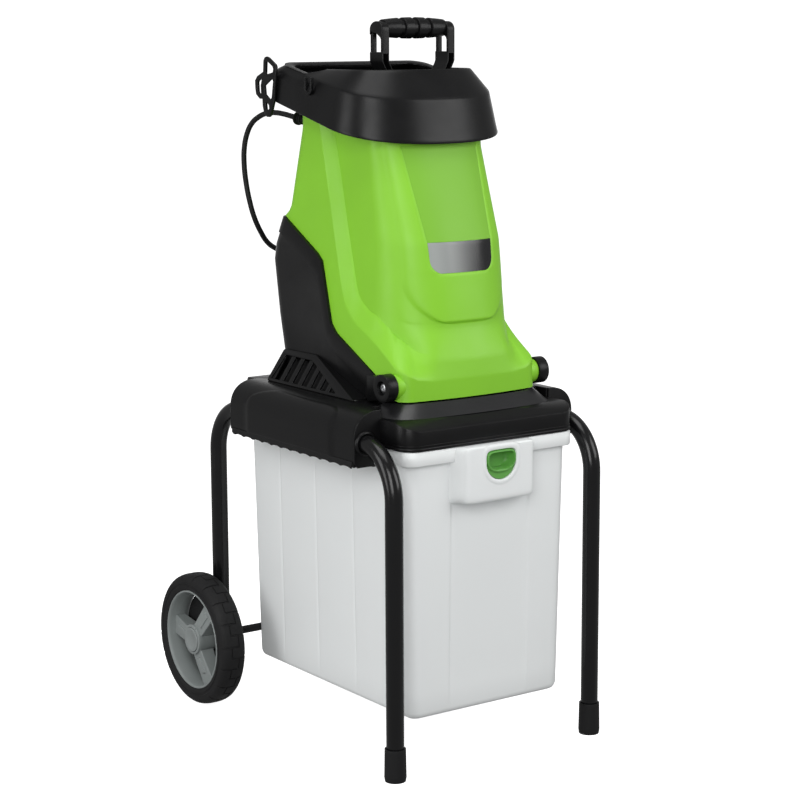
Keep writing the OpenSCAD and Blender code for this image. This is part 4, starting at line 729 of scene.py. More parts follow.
# %% Hood
HOOD_HALF = 137
HOOD_REAR = 136
HOOD_CORNER = 24
HOOD_DEEP = 95
HOOD_POWER = 2.35
HOOD_WALL = 3.2
RIM_BROAD = 3.2
SKIRT_RISE = 58
SKIRT_LEAN = 12
REAR_LEAN = 15
REAR_RISE = (18, 26)
UPRIGHT = [(0, 0), (0.7, 0.1), (0.86, 0.42), (1, 1)]
VISOR_RISE = 44
VISOR_LEAN = 26
VISOR_END = (34, 54)
CREASE_SLOPE = 0.214
THROAT = (80, -68, 80)
THROAT_POWER = 0.4


def hood_outline(inset, rear_in):
    """Half outline of the hood, from the front middle to the rear middle."""
    half, front, deep = HOOD_HALF - inset, -HOOD_FRONT + inset, HOOD_DEEP - inset
    rear = HOOD_REAR - rear_in
    out = []
    for a in [0] + spread(0, pi / 2, 44):
        u = sin(a) ** (2 / HOOD_POWER)
        out.append((u * half, front + deep * swell(u, HOOD_POWER)))
    last = rear - HOOD_CORNER
    for y in ticks(HOOD_DEEP - HOOD_FRONT, (VISOR_END[0], 8), (VISOR_END[1], 8), (last, 6)):
        out.append((half, y))
    for a in spread(0, pi / 2, 9):
        out.append((half - HOOD_CORNER + HOOD_CORNER * cos(a), last + HOOD_CORNER * sin(a)))
    return out + [(x, rear) for x in spread(half - HOOD_CORNER, 0, 10)]


def skirt_row(t, inset=0, lift=0):
    """A row of the skirt at a share of its height. It flares in front and stands upright behind."""
    foot, crease = hood_outline(inset, inset), hood_outline(SKIRT_LEAN + inset, REAR_LEAN + inset)
    row = []
    for (fx, fy), (cx, cy) in zip(foot, crease):
        k = mix(t, lookup(t, UPRIGHT), share(fy, VISOR_END[0] - 24, VISOR_END[1]))
        rise = REAR_RISE[0] * share(fy, HOOD_REAR - REAR_RISE[1], HOOD_REAR) ** 2
        low = HOPPER_TOP + rise + HOOD_SLOPE * (fy + HOOD_FRONT)
        high = HOPPER_TOP + SKIRT_RISE + CREASE_SLOPE * (cy + HOOD_FRONT)
        row.append(Vector((mix(fx, cx, k), mix(fy, cy, k), mix(low, high, t) + lift)))
    return row


def visor_row(t, inset=0, lift=0):
    """A row of the visor, which dies into the skirt's rim at its two ends."""
    crease, broad = skirt_row(1, inset), skirt_row(1, RIM_BROAD * inset)
    leaning = hood_outline(SKIRT_LEAN + VISOR_LEAN * t + inset, REAR_LEAN + inset)
    row = []
    for p, b, (x, y) in zip(crease, broad, leaning):
        m = 1 - share(p.y, *VISOR_END)
        p = b.lerp(p, m)
        top = mix(p.z, HOPPER_TOP + SKIRT_RISE + VISOR_RISE, t)
        row.append(Vector((mix(p.x, x, m), mix(p.y, y, m), mix(p.z + 2 * t, top, m) + lift)))
    return row


def throat_row(lift):
    """The mouth of the chute, with one point in the direction of each point of the hood."""
    half, front, rear = THROAT
    middle, deep = (front + rear) / 2, (rear - front) / 2
    row = []
    for x, y in hood_outline(SKIRT_LEAN, REAR_LEAN):
        a = atan2((y - middle) / deep, x / half)
        px = half * abs(cos(a)) ** THROAT_POWER
        py = middle + deep * copysign(abs(sin(a)) ** THROAT_POWER, sin(a))
        row.append(Vector((px if x > 0.01 else 0, py, seat_height(py) + lift)))
    return row


def seat_row(inset, lift):
    """A row on the seat's plane."""
    return [Vector((x, y, seat_height(y) + lift)) for x, y in hood_outline(inset, REAR_LEAN + 3)]


def loft(name, rows, material, body, stands_for):
    """A closed skin: half rows are mirrored into rings, and the last ring is joined to the first."""
    return grid_piece(name, placed(rows, both_halves), material, body, closed=True, looped=True,
                      stands_for=stands_for, smooth=50)


rows = [skirt_row(0, *r) for r in ((3, 1.2), (2.2, 0.2), (1.2, 0), (0.4, 0.4), (0, 1.4))]
rows += [skirt_row(t) for t in (0.1, 0.25, 0.4, 0.55, 0.67, 0.69, 0.71, 0.73, 0.8, 0.85, 0.87, 0.93, 0.985)]
rows += [visor_row(t) for t in [0.02] + spread(0.02, 0.97, 9)]
rows += [visor_row(1, *r) for r in ((0.3, -0.2), (1.2, 0.2), (2.6, -0.2), (HOOD_WALL, -1.2))]
rows += [visor_row(t, HOOD_WALL, -1) for t in spread(0.9, 0.06, 4)]
rows += [skirt_row(t, HOOD_WALL, -1) for t in (0.86, 0.7)]
rows += [seat_row(9, 3.2), throat_row(3.2), throat_row(0.2), seat_row(9, 0.2), skirt_row(0, 3, 2)]
hood = loft("hood_shell", rows, shell_black, "upper", ["hopper_hood"])
print("hood:", len(hood.data.polygons), "faces")

# %% [markdown]
# Two thin plates lie in the recess of the front panel: a satin sheet in a
# cooler green, and below it a dark badge. The badge's colour fades from silver
# on the left to black on the right, a painted reflection of the lamp on a metal
# plate. Both are blank. They are grids that follow the recess's floor, so they
# bend with the moulding.

# %% Label sheet and badge
BADGE_TOP = 220
PLATE_EDGE = 0.7
PLATE_PROUD = 0.6
PLATE_THICK = 0.8
# span of x, in metres, over which the badge's painted reflection fades from silver to black
REFLECTION_SPAN = (-0.05, 0.03)


def front_floor(x, h):
    """Depth of the recess's floor at a place on the front panel."""
    return tower_skin(abs(x) / tower_half(h), h).y - PANEL_RISE + LABEL_DEEP


def front_plate(name, low, high, steps, material, slot):
    """A thin sheet on the recess's floor between two heights."""
    knee = min(low + LABEL_CORNER, high)
    rows = []
    for h in [low] + ticks(low, (knee, 12), (high, steps)):
        half = label_half(h) - PLATE_EDGE
        rows.append([on_deck(x, front_floor(x, h) - PLATE_PROUD, h) for x in [-half] + spread(-half, half, 24)])
    wall(grid_piece(name, rows, material, "upper", slot=slot), PLATE_THICK)


label_green = finish("label_green", "#82C03C", gloss=(0.4, 0.46), grain=0.03, shade=0.03, shine=0.25)
badge_black = finish("badge_black", "#232326", gloss=(0.2, 0.24), grain=0.02, shade=0.05)
# The badge's base colour runs from silver to black across it: a painted reflection of the lamp, not the plate's own
# colour.
tree = badge_black.node_tree
split, painted_reflection = (tree.nodes.new("ShaderNode" + kind) for kind in ("SeparateXYZ", "Mix"))
reflection_fade = map_range(tree, split.outputs["X"], REFLECTION_SPAN)
reflection_fade.interpolation_type = "SMOOTHSTEP"
painted_reflection.data_type = "RGBA"
preset(painted_reflection, A=linear("#A6AAA8"), B=linear("#161618"))
for a, b in ((tree.nodes["Texture Coordinate"].outputs["Object"], split.inputs[0]),
             (reflection_fade.outputs["Result"], painted_reflection.inputs["Factor"]),
             (painted_reflection.outputs["Result"], tree.nodes["Principled BSDF"].inputs["Base Color"])):
    tree.links.new(a, b)
front_plate("label_sheet", BADGE_TOP + 0.4, 366, 20, label_green, "shell_green")
front_plate("badge_plate", LABEL_FOOT + 0.7, BADGE_TOP, 8, badge_black, "shell_black")
print("label sheet and badge")

# %% [markdown]
# The pusher's handle is a grip on two forked legs. The grip swells towards its
# middle and has three deep grooves, so it is a lathe shape: a profile of
# lengths and radii turned about the grip's axis.

# %% Pusher grip
GRIP_H = 511
GRIP_Y = -35
GRIP_R = (15, 12)
GRIP_HALF = 52
GROOVES = (-22.5, 0, 22.5)
GROOVE_DEEP = 3.2


def full_turn(count):
    """Evenly spaced angles of a whole turn."""
    return [2 * pi * k / count for k in range(count)]


def round_axis(turn, angles):
    """An axis, and the directions at some angles round it."""
    axis = Vector(turn).normalized()
    side = axis.orthogonal().normalized()
    other = axis.cross(side)
    return axis, [side * cos(a) + other * sin(a) for a in angles]


def turned(name, profile, place, turn, material, body, stands_for=(), around=48, smooth=35):
    """A lathe piece: pairs of length and radius in millimetres, about an axis that points along turn."""
    axis, ring = round_axis(turn, full_turn(around))
    rows = [[place + (axis * length + out * radius) / 1000 for out in ring] for length, radius in profile]
    return grid_piece(name, rows, material, body, closed=True, caps=(0, -1), stands_for=stands_for, smooth=smooth)


def grip_radius(x):
    """Radius of the barrel, less a groove with rounded lips."""
    r = mix(*GRIP_R, (x / GRIP_HALF) ** 2)
    near = min(abs(x - g) for g in GROOVES)
    return r - GROOVE_DEEP * (1 - share(near, 3, 4.4) ** 0.6)


profile = [(x / 2, grip_radius(x / 2)) for x in range(-2 * GRIP_HALF, 2 * GRIP_HALF + 1)]
turned("pusher_grip", profile, on_deck(0, GRIP_Y, GRIP_H), (1, 0, 0), shell_black, "pusher", ["pusher_handle"],
       smooth=60)
print("grip with", len(GROOVES), "grooves")

# %% [markdown]
# Each leg hangs from the grip's end as a fork. A strap bends over the grip and
# ends in front, a slimmer prong goes down behind, and a channel then leads both
# inwards to the paddle. Flat shapes with holes like these are quick to draw as
# a filled curve that is given a thickness and a rounded edge, and then kept as
# a mesh.

# %% Pusher legs
def cut_sheet(name, outlines, thick, edge, place, material, body, across=(0, 1, 0), up=(0, 0, 1), **more):
    """A flat piece with rounded edges: outlines in millimetres, the first one outside and the rest holes.

    It stands upright along the machine unless across and up say otherwise; more goes to new_piece.
    """
    flat = bpy.data.curves.new(name, "CURVE")
    flat.dimensions = "2D"
    flat.fill_mode = "BOTH"
    flat.extrude = (thick / 2 - edge) / 1000
    flat.bevel_depth = edge / 1000
    flat.offset = -edge / 1000
    flat.bevel_resolution = 2
    for outline in outlines:
        line = flat.splines.new("POLY")
        line.points.add(len(outline) - 1)
        for knot, (a, b) in zip(line.points, outline):
            knot.co = (a / 1000, b / 1000, 0, 1)
        line.use_cyclic_u = True
    sketch = add_object(name + "_sketch", flat)
    bpy.context.view_layer.update()
    mesh = sketch.to_mesh()
    across, up = Vector(across).normalized(), Vector(up).normalized()
    turn = Matrix((across, up, across.cross(up))).transposed()
    points = [place + turn @ v.co for v in mesh.vertices]
    faces = [tuple(f.vertices) for f in mesh.polygons]
    bpy.data.objects.remove(sketch)
    bpy.data.curves.remove(flat)
    return new_piece(name, points, faces, material, body, **more)


def arc(middle, radii, start, end, steps):
    """Points of an elliptical arc, in degrees."""
    return [(middle[0] + radii[0] * cos(radians(a)), middle[1] + radii[1] * sin(radians(a)))
            for a in [start] + spread(start, end, steps)]


FORK_X = 56.5
CHANNEL = [(-6, -16), (-6, 15), (6, 15), (6, -16), (4, -16), (4, 12), (-4, 12), (-4, -16)]
CHANNEL_ENDS = ((0, 1, 6, 7), (1, 2, 5, 6), (2, 3, 4, 5))
strap = [(-16, -35), (-16, -4)] + arc((-0.5, -2), (15.5, 11.5), 180, 0, 16)
strap += [(15, -9), (11, -5), (-2, -8), (-10.5, -13), (-12, -16), (-12, -34)]
prong = [(10.5, 0), (10.5, -40), (17, -40), (17, 0)]
for side, word in SIDES:
    place = on_deck(side * FORK_X, GRIP_Y, GRIP_H)
    cut_sheet("fork_strap_" + word, [strap], 12.5, 1, place, shell_black, "pusher", smooth=50)
    cut_sheet("fork_prong_" + word, [prong], 7, 1, place, shell_black, "pusher")
    rows = [[on_deck(side * (x + a), GRIP_Y + b, h) for a, b in CHANNEL]
            for x, h in ((FORK_X, 478), (FORK_X, 466), (55.5, 463), (34, 422))]
    faces = grid_faces(len(rows), len(CHANNEL), True)
    faces += [tuple(len(CHANNEL) * j + i for i in group) for j in (0, len(rows) - 1) for group in CHANNEL_ENDS]
    bevel(new_piece("fork_channel_" + word, [p for row in rows for p in row], faces, shell_black, "pusher"), 0.6)
print("pusher legs: straps, prongs and channels")

# %% [markdown]
# The cable hook is a flat moulding with four openings, hung on a peg of the
# hood's rear corner. A second, parallel finger behind the first keeps the lead
# from slipping off. The outlines are drawn on the hook's own plane, as
# distances along the machine and heights over the deck.

# %% Cable hook
HOOK_X = -139.5
loop = [(137, 450), (135.7, 466), (132, 470.6), (127.4, 471.6), (121.7, 470.2), (103.5, 460.5), (101.5, 457),
        (103.2, 443), (107, 411), (114, 395), (118, 388), (122, 385.5), (128, 385.5), (133.5, 388), (137, 394),
        (139.5, 401), (140, 411), (147.5, 411), (157, 417), (159, 426), (159.6, 437), (153.6, 443.5)]
loop_holes = [[(128.5, 463.5), (125, 464.5), (111.5, 457.5), (109.5, 454), (111, 449.5), (130, 446)],
              [(133.5, 430), (113.2, 441), (110.3, 437), (114.6, 414), (119, 409.5), (132, 418)],
              [(131.5, 408), (122.5, 402.5), (121.8, 398), (124.5, 394.5), (130, 397)],
              [(152, 434), (150.4, 436.5), (138.5, 441.5), (138, 420), (149, 418.5), (151, 421)]]
cut_sheet("cable_hook_plate", [loop] + loop_holes, 4, 1, on_deck(HOOK_X, 0, 0), shell_black, "upper",
          stands_for=["cable_hook"], smooth=50)
finger = [(139, 446), (139, 440), (148, 436.5), (152.5, 431), (153.5, 417), (159, 416), (160, 430), (157, 438),
          (150, 443)]
cut_sheet("cable_hook_finger", [finger], 3.5, 1, on_deck(HOOK_X + 9.5, 0, 0), shell_black, "upper")
turned("cable_hook_bridge", [(-1, 2), (-0.6, 2.6), (10.6, 2.6), (11, 2)], on_deck(HOOK_X, 141.5, 443), (1, 0, 0),
       shell_black, "upper", around=20)
print("cable hook with two fingers")

# %% [markdown]
# The sleeve round the lead keeps it from kinking where it leaves the hopper.
# It is a soft moulding with a collar and deep ribs, and narrows along the lead.
# The lathe helper makes it from one profile.

# %% Strain relief
profile = [(-2, 5.4), (9, 5.4), (9.4, 7.8), (11.8, 7.8), (12.2, 5.4), (14.4, 5.4), (14.8, 7.4), (17.2, 7.4),
           (17.6, 5.2), (19.8, 5.2), (20.2, 10), (22.6, 10), (23.2, 6.2), (27, 5.8), (33, 4.6), (33.4, 4.1)]
turned("strain_relief", profile, on_deck(*LEAD_MOUTH), LEAD_ROUTE[2], rubber_black, "upper", ["cable_gland"],
       around=40)
print("strain relief")

# %% [markdown]
# A green knuckle on each side of the body fits between the skirt and the
# housing's boss, and the hinge bolt runs through both. At the rear, the lug of
# the locking knob stands on the body's back. Both belong to the body's
# moulding, so they share its finish.

# %% Hinge knuckles and knob lug
KNOB_LEAN = radians(33)
KNOB_FOOT = Vector((0, 178, 262))
LUG_ROOT = (133, 249.5, 1.45)
knuckle = [(106, 15), (107, 16.6), (108, 17), (121.8, 17), (122.7, 16.4), (123, 15.4)]
for side, word in SIDES:
    turned("hinge_knuckle_" + word, knuckle, on_deck(0, *HINGE), (side, 0, 0), shell_green, "upper", around=56)
knob_axis = Vector((0, -sin(KNOB_LEAN), cos(KNOB_LEAN)))
knob_back = Vector((0, cos(KNOB_LEAN), sin(KNOB_LEAN)))
rows = []
for lift, half in ((0.6, 16.2), (1.4, 17), (7.8, 17), (8.6, 16.2)):
    tip = [KNOB_FOOT + knob_axis * lift + Vector((half * cos(a), 0, 0)) + knob_back * half * sin(a)
           for a in [0] + spread(0, pi, 16)]
    root = [Vector((end * half, LUG_ROOT[0], LUG_ROOT[1] + lift * LUG_ROOT[2])) for end in (-1, 1)]
    rows.append([on_deck(*p) for p in tip + root])
grid_piece("knob_lug_upper", rows, shell_green, "upper", closed=True, caps=(0, -1))
print("two knuckles and a lug")

# %% [markdown]
# The chip box is a thin, milky blow moulding. Its walls draw in towards the
# floor so that it leaves its mould, the floor's edge is round, and a broad rim
# hangs in the deck's rails. The front is set back between two upright lines and
# the sides have shallow grooves that stiffen them. One loft makes the walls and
# the border of the floor: up the outside, over the rim and down the inside. The
# middle of the floor is left open.

# %% Chip box
BOX_FLOOR = 70
BOX_TOP = 451
BOX_DRAFT = 6
BOX_WALL = 3
BOX_CORNER = 18
BOX_HALF, BOX_FRONT, BOX_REAR = 138, -219, 199.3
RIM_LOW = 431
RIM_OUT = 7
GROOVES_AT = (-77, 19, 114)


def box_row(z, inset=0, rim=False):
    """Half a ring of the box at a height, drawn in by inset."""
    draw = 0 if rim else BOX_DRAFT * (1 - share(z, BOX_FLOOR, BOX_TOP))
    out = RIM_OUT if rim else 0
    half, front, rear = BOX_HALF - draw - inset + out, BOX_FRONT + draw + inset - out, BOX_REAR - draw - inset
    r = max(BOX_CORNER - inset, 3)
    plain = rim or inset > 4
    low = share(z, BOX_FLOOR + 8, BOX_FLOOR + 40)
    row = []
    for x in [0] + ticks(0, (60, 6), (68, 4), (76, 6), (half - r, 8)):
        back = 0 if plain else 1.8 * low * (1 - share(x, 66.5, 69.5))
        row.append(Vector((x, front + back, z - DECK)))
    for a in spread(0, pi / 2, 9):
        row.append(Vector((half - r + r * sin(a), front + r - r * cos(a), z - DECK)))
    for y in [g + d for g in GROOVES_AT for d in (-9, -5, -1.2, -0.5, 0.5, 1.2, 5, 9)] + [rear - r]:
        near = min(abs(y - g) for g in GROOVES_AT)
        deep = 0 if plain else low * max(0.9 * (1 - share(near, 0.4, 1.4)), 0.5 * (1 - share(near, 1, 8)))
        row.append(Vector((half - deep, y, z - DECK)))
    for a in spread(0, pi / 2, 9):
        row.append(Vector((half - r + r * cos(a), rear - r + r * sin(a), z - DECK)))
    return row + [Vector((x, rear, z - DECK)) for x in spread(half - r, 0, 8)]


rows = [box_row(*r) for r in ((70, 30), (70, 12), (70.6, 7.4), (72.6, 3.9), (76, 1.4), (80, 0.2))]
rows += [box_row(z) for z in spread(84, 428, 14)] + [box_row(429.4, -0.5), box_row(430.4, -2)]
rows += [box_row(z, inset, True) for z, inset in (
    (RIM_LOW, 0.9), (RIM_LOW + 1.2, 0), (BOX_TOP - 1.2, 0), (BOX_TOP - 0.2, 1), (BOX_TOP - 0.2, 6))]
rows += [box_row(z, BOX_WALL) for z in [449.6] + spread(440, 84, 6)]
rows += [box_row(*r) for r in ((76, 5), (73, 12), (73, 30))]
chip_box = loft("chip_box", rows, box_white, "box", ["collection_box"])
print("chip box:", len(chip_box.data.polygons), "faces")

# %% [markdown]
# The block for the lock stands in front of the rim. Its opening is a letter D
# lying on its back, with a soft rim round it. The skin runs outwards from the
# opening in rings: round the rim, over the flat face, and back along the slanted
# sides to the box's wall. A ring is a distance for each direction, seen from
# the middle of the D, so rings of different outlines fit together.

# %% Lock block
LOCK_MIDDLE = 427
LOCK_HALF, LOCK_RISE = 25, 16
BLOCK_HALF, BLOCK_UP, BLOCK_DOWN = 59, 24, 56
CORNERS = [atan2(dz + e, side * (BLOCK_HALF + d)) % (2 * pi) for side in (-1, 1)
           for dz in (BLOCK_UP, -BLOCK_DOWN) for d, e in ((-1, 0), (0, 0), (0.5, 0), (0, 1), (0, -1))]
DIRECTIONS = sorted(full_turn(120) + CORNERS)


def rounded(a, half, rise, power):
    """Distance to a rounded rectangle's edge in a direction."""
    return ((abs(cos(a)) / half) ** power + (abs(sin(a)) / rise) ** power) ** (-1 / power)


def lock_ring(distances, y):
    """A ring of drawing points from a distance for each direction."""
    return [at(d * cos(a), y, LOCK_MIDDLE + d * sin(a)) for a, d in zip(DIRECTIONS, distances)]


def d_ring(grow, y, thick_foot=0):
    """A ring with the outline of the lock, grown or shrunk, and lower by a thick foot."""
    half, rise = LOCK_HALF + grow, LOCK_RISE + grow
    return lock_ring([rounded(a, half, rise, 5) if sin(a) >= 0 else half - thick_foot * (-sin(a)) ** 1.4
                      for a in DIRECTIONS], y)


def block_ring(inset, y, half=BLOCK_HALF):
    """A ring with the outline of the block, drawn in by inset."""
    return lock_ring([rounded(a, half - inset, BLOCK_UP - inset * 0.3 if sin(a) > 0 else BLOCK_DOWN - inset, 16)
                      for a in DIRECTIONS], y)


rings = [d_ring(*r) for r in ((0.6, -226), (0.6, -241.4), (0.9, -242.4), (1.8, -243), (5.5, -243), (6.5, -242.7),
                              (7.6, -242.1), (9, -242))]
rings += [block_ring(*r) for r in ((11, -242), (7, -241.9), (4, -241.3), (2, -240.3), (0.8, -238.9), (0.2, -237),
                                   (0, -235, 60), (0, -221, 72), (0, -207, 72))]
grid_piece("lock_block", rings, box_white, "box", closed=True, smooth=60)
print("lock block")

# %% [markdown]
# The lock is a green slide with a finger cup. A thin rim round the cup stands
# proud, the foot below it lies deeper, and the cup gets narrower to its back.
# A tongue behind it reaches up into the deck and trips the motor's interlock
# switch.

# %% Lock slide
rings = [d_ring(*r) for r in (
    (-0.2, -236), (-0.2, -241.2), (-0.5, -241.6), (-0.7, -241.5, 1), (-0.8, -240.6, 8.6), (-0.8, -240.6, 9),
    (-0.9, -243.4, 9.2), (-1.3, -244, 9.4), (-2, -244.3, 9.9), (-2.8, -244, 10.6), (-3.2, -243, 11),
    (-3.4, -242, 11.2), (-5, -234, 11.2), (-7, -229.6, 8), (-9, -228.2, 5), (-13, -227.8))]
grid_piece("lock_slide", rings, lock_green, "box_lock", closed=True, caps=(-1,), stands_for=["box_lock"], smooth=45)
cut_sheet("lock_tongue", [[(-10, 405), (10, 405), (10, 444), (-10, 444)]], 6, 1, at(0, -217.2, 0), lock_green,
          "box_lock", across=(1, 0, 0))
print("lock slide with its tongue")

# %% [markdown]
# The wheels are grey mouldings with a rubber tyre. The tyre's tread is a row of
# blocks with narrow grooves between them. As a lathe with a rule for the radius
# it stays one clean mesh: the rule takes a groove's depth away wherever a groove
# runs. The hub has a deep rim, a barrel, three wedge-shaped spokes, each with
# a raised strip, and a black back plate.

# %% Wheels
WHEEL_IN = 188
AXLE_Y, AXLE_Z = 230.5, 100
TYRE_R, TYRE_W = 100, 40
TREADS = 18
TREAD_FOOT = 91
GROOVE_HALF, GROOVE_DEPTH = 1.25, 1.3
SPOKES_AT = (36, 156, 276)


def revolved(name, profile, place, turn, material, body, stands_for=(), angles=full_turn(72), cut=None, smooth=35):
    """A ring with a closed profile of lengths and radii; cut says how much a place loses in radius."""
    axis, ring = round_axis(turn, angles)
    rows = [[place + (axis * z + out * (r - (cut(a, z, r) if cut else 0))) / 1000 for z, r in profile]
            for a, out in zip(angles, ring)]
    return grid_piece(name, rows, material, body, closed=True, looped=True, stands_for=stands_for, smooth=smooth)


def tread_cut(a, z, r):
    """Depth of the groove at a place of the tyre: cross grooves from both shoulders, joined by a zigzag."""
    phase = a / (2 * pi) * TREADS % 1
    pitch = 2 * pi * TYRE_R / TREADS
    inner = min(phase, 1 - phase) * pitch < GROOVE_HALF and z < 26.8
    outer = abs(phase - 0.5) * pitch < GROOVE_HALF and z > 13.2
    along = abs(z - (26 if phase < 0.5 else 14)) < 0.8
    return GROOVE_DEPTH if r > TREAD_FOOT and (inner or outer or along) else 0


tyre_half = [(2, 75.4), (0.6, 78), (0, 81), (0, 82), (0.8, 82.6), (0.8, 85.6), (0, 86.2), (0, 91.5), (0.5, 93.6),
             (2.2, 95.9), (4.9, 98), (8.5, 99.2), (12, 99.8), (12.9, 99.9), (13.3, 99.9), (14.7, 100), (15.1, 100),
             (20, TYRE_R)]
tyre_profile = tyre_half + [(TYRE_W - z, r) for z, r in tyre_half[-2::-1]]
phases = (-0.043, -0.034, 0.034, 0.043, 0.16, 0.27, 0.38, 0.457, 0.466, 0.534, 0.543, 0.64, 0.75, 0.86)
tread_angles = [2 * pi * (k + p) / TREADS for k in range(TREADS) for p in phases]
rim_profile = [(3, 75), (3, 72), (9, 69), (15, 68), (24, 69), (34, 71.2), (36.4, 71.6), (37.4, 72.2), (38.4, 72.6),
               (38.8, 73.4), (38.6, 74.6), (37.8, 75.2), (36, 75)]
barrel_profile = [(2, 6.9), (2, 19), (3, 21), (18, 22), (31, 23), (37, 23), (38, 22.6), (38.5, 21.8), (38.5, 19.3),
                  (32, 19.3), (32, 6.9)]
back_profile = [(3.5, 7.2), (3.5, 69.5), (5.5, 69.5), (5.5, 7.2)]
cap_profile = [(36.9, 17), (37.1, 18.4), (39, 18.6), (39.7, 18.2), (40, 17.2), (40, 14.6), (39.5, 13.8)]
spoke_rows = [(20, 0), (29, 0), (30.5, 2.2), (53, 2.2), (55, 0), (69.5, 0)]
for side, word in SIDES:
    body, place, turn = "wheel_" + word, at(side * WHEEL_IN, AXLE_Y, AXLE_Z), (side, 0, 0)
    revolved("tyre_" + word, tyre_profile, place, turn, tyre_black, body, ["wheel_tyre_" + word], tread_angles,
             tread_cut, 25)
    revolved("wheel_rim_" + word, rim_profile, place, turn, wheel_grey, body, ["wheel_hub_" + word])
    revolved("wheel_barrel_" + word, barrel_profile, place, turn, wheel_grey, body)
    turned("hub_cap_" + word, cap_profile, place, turn, wheel_grey, body, ["wheel_cap_" + word])
    revolved("wheel_back_" + word, back_profile, place, turn, tyre_black, body)
    points, faces = [], []
    for angle in SPOKES_AT:
        a = radians(angle)
        radial, across = Vector((0, -sin(a), cos(a))), Vector((0, cos(a), sin(a)))
        first = len(points)
        for r, strip in spoke_rows:
            t = share(r, 20, 70)
            w, top = mix(12.5, 15, t), mix(34.5, 27, t)
            section = [(-w, 12), (-w, top - 1), (-w + 1, top), (-5.2, top), (-4.4, top + strip), (4.4, top + strip),
                       (5.2, top), (w - 1, top), (w, top - 1), (w, 12)]
            points += [place + (radial * r + across * s + Vector((side * z, 0, 0))) / 1000 for s, z in section]
        faces += [tuple(first + v for v in face)
                  for face in grid_faces(len(spoke_rows), len(section), True, caps=(0, -1))]
    bevel(new_piece("wheel_spokes_" + word, points, faces, wheel_grey, body, smooth=25), 0.8)
print("two wheels with", TREADS, "tread blocks to a side")

# %% [markdown]
# Low on each side of the housing a sloped frame lets the cooling air in. Its
# slots lean forwards and the front ones end on the frame's slanted edge, so each
# slot is a leaning strip that is clipped to the frame's inner outline. The
# pieces are flat again: a field with the slots, a dust screen behind it, a raised
# border, and the cheeks that lead back to the housing.

# %% Vent grilles
GRILLE_RIM = [(-94, 0), (137, 0), (124, 52), (38, 53)]
GRILLE_FIELD = [(-44, 4.6), (129, 4.6), (113.5, 43.5), (42, 43.5)]
SLOT_COUNT, SLOT_PITCH, SLOT_WIDTH = 7, 24.2, 14.5
SLOT_LEAN = 50 * 0.21


def clipped(shape, fence):
    """The part of one convex outline inside another, both listed anticlockwise."""
    for a, b in zip(fence, fence[1:] + fence[:1]):
        kept = []
        for p, q in zip(shape, shape[1:] + shape[:1]):
            dp, dq = ((b[0] - a[0]) * (v[1] - a[1]) - (b[1] - a[1]) * (v[0] - a[0]) for v in (p, q))
            if dp >= 0:
                kept.append(p)
            if dp * dq < 0:
                kept.append(tuple(mix(p[i], q[i], dp / (dp - dq)) for i in (0, 1)))
        shape = kept
    return shape


def eased(outline, radius):
    """An outline with its corners rounded."""
    out = []
    for k, p in enumerate(outline):
        p, before, after = (Vector(v) for v in (p, outline[k - 1], outline[(k + 1) % len(outline)]))
        a, b = (p + (v - p).normalized() * min(radius, (v - p).length / 2) for v in (before, after))
        out += [tuple(a.lerp(p, t).lerp(p.lerp(b, t), t)) for t in (0, 0.25, 0.5, 0.75, 1)]
    return out


slots = []
for k in range(SLOT_COUNT):
    foot = 122 - SLOT_PITCH * k
    strip = [(foot - SLOT_WIDTH, 4), (foot, 4), (foot - SLOT_LEAN, 54), (foot - SLOT_WIDTH - SLOT_LEAN, 54)]
    slots.append(eased(clipped(strip, GRILLE_FIELD), 1.2))
rim = eased(GRILLE_RIM, 4)
for side, word in SIDES:
    up, out = Vector((-24 * side, 0, 48)).normalized(), Vector((48 * side, 0, 24)).normalized()
    corner = on_deck(142.2 * side, 0, 0.4)
    cut_sheet("vent_field_" + word, [rim] + slots, 3, 0.5, corner - out * 0.0025, shell_black, "base", up=up,
              stands_for=["vent_grille_" + word])
    cut_sheet("vent_border_" + word, [rim, eased(GRILLE_FIELD, 3)], 4, 0.9, corner - out * 0.001, shell_black, "base",
              up=up)
    cut_sheet("vent_screen_" + word, [GRILLE_FIELD], 1, 0.1, corner - out * 0.012, rubber_black, "base", up=up)
    rows = [[corner + Vector((0, a, 0)) / 1000 + up * b / 1000 - out * 0.001 - Vector((side * deep, 0, 0)) / 1000
             for a, b in rim[5:] + rim[:4]] for deep in (0, 10, 26)]
    wall(grid_piece("vent_cheeks_" + word, rows, shell_black, "base"), 2.5)
print("two vent grilles with", len(slots), "slots each")

# %% [markdown]
# Each hinge has a round boss on an arm of the housing, and a bolt with a domed
# head that sits deep in the boss. The arm is the hull of the boss's ring and a
# patch on the housing's side, which gives its smooth taper at once.

# %% Hinge arms and bolts
def hull_piece(name, points, material, body, rounding):
    """The convex hull of some drawing points, with its edges rounded."""
    work = bmesh.new()
    for p in points:
        work.verts.new(p)
    bmesh.ops.convex_hull(work, input=work.verts)
    bmesh.ops.delete(work, geom=[v for v in work.verts if not v.link_faces], context="VERTS")
    work.verts.index_update()
    corners, faces = [v.co.copy() for v in work.verts], [tuple(v.index for v in f.verts) for f in work.faces]
    work.free()
    bevel(new_piece(name, corners, faces, material, body, smooth=30), rounding, 3)


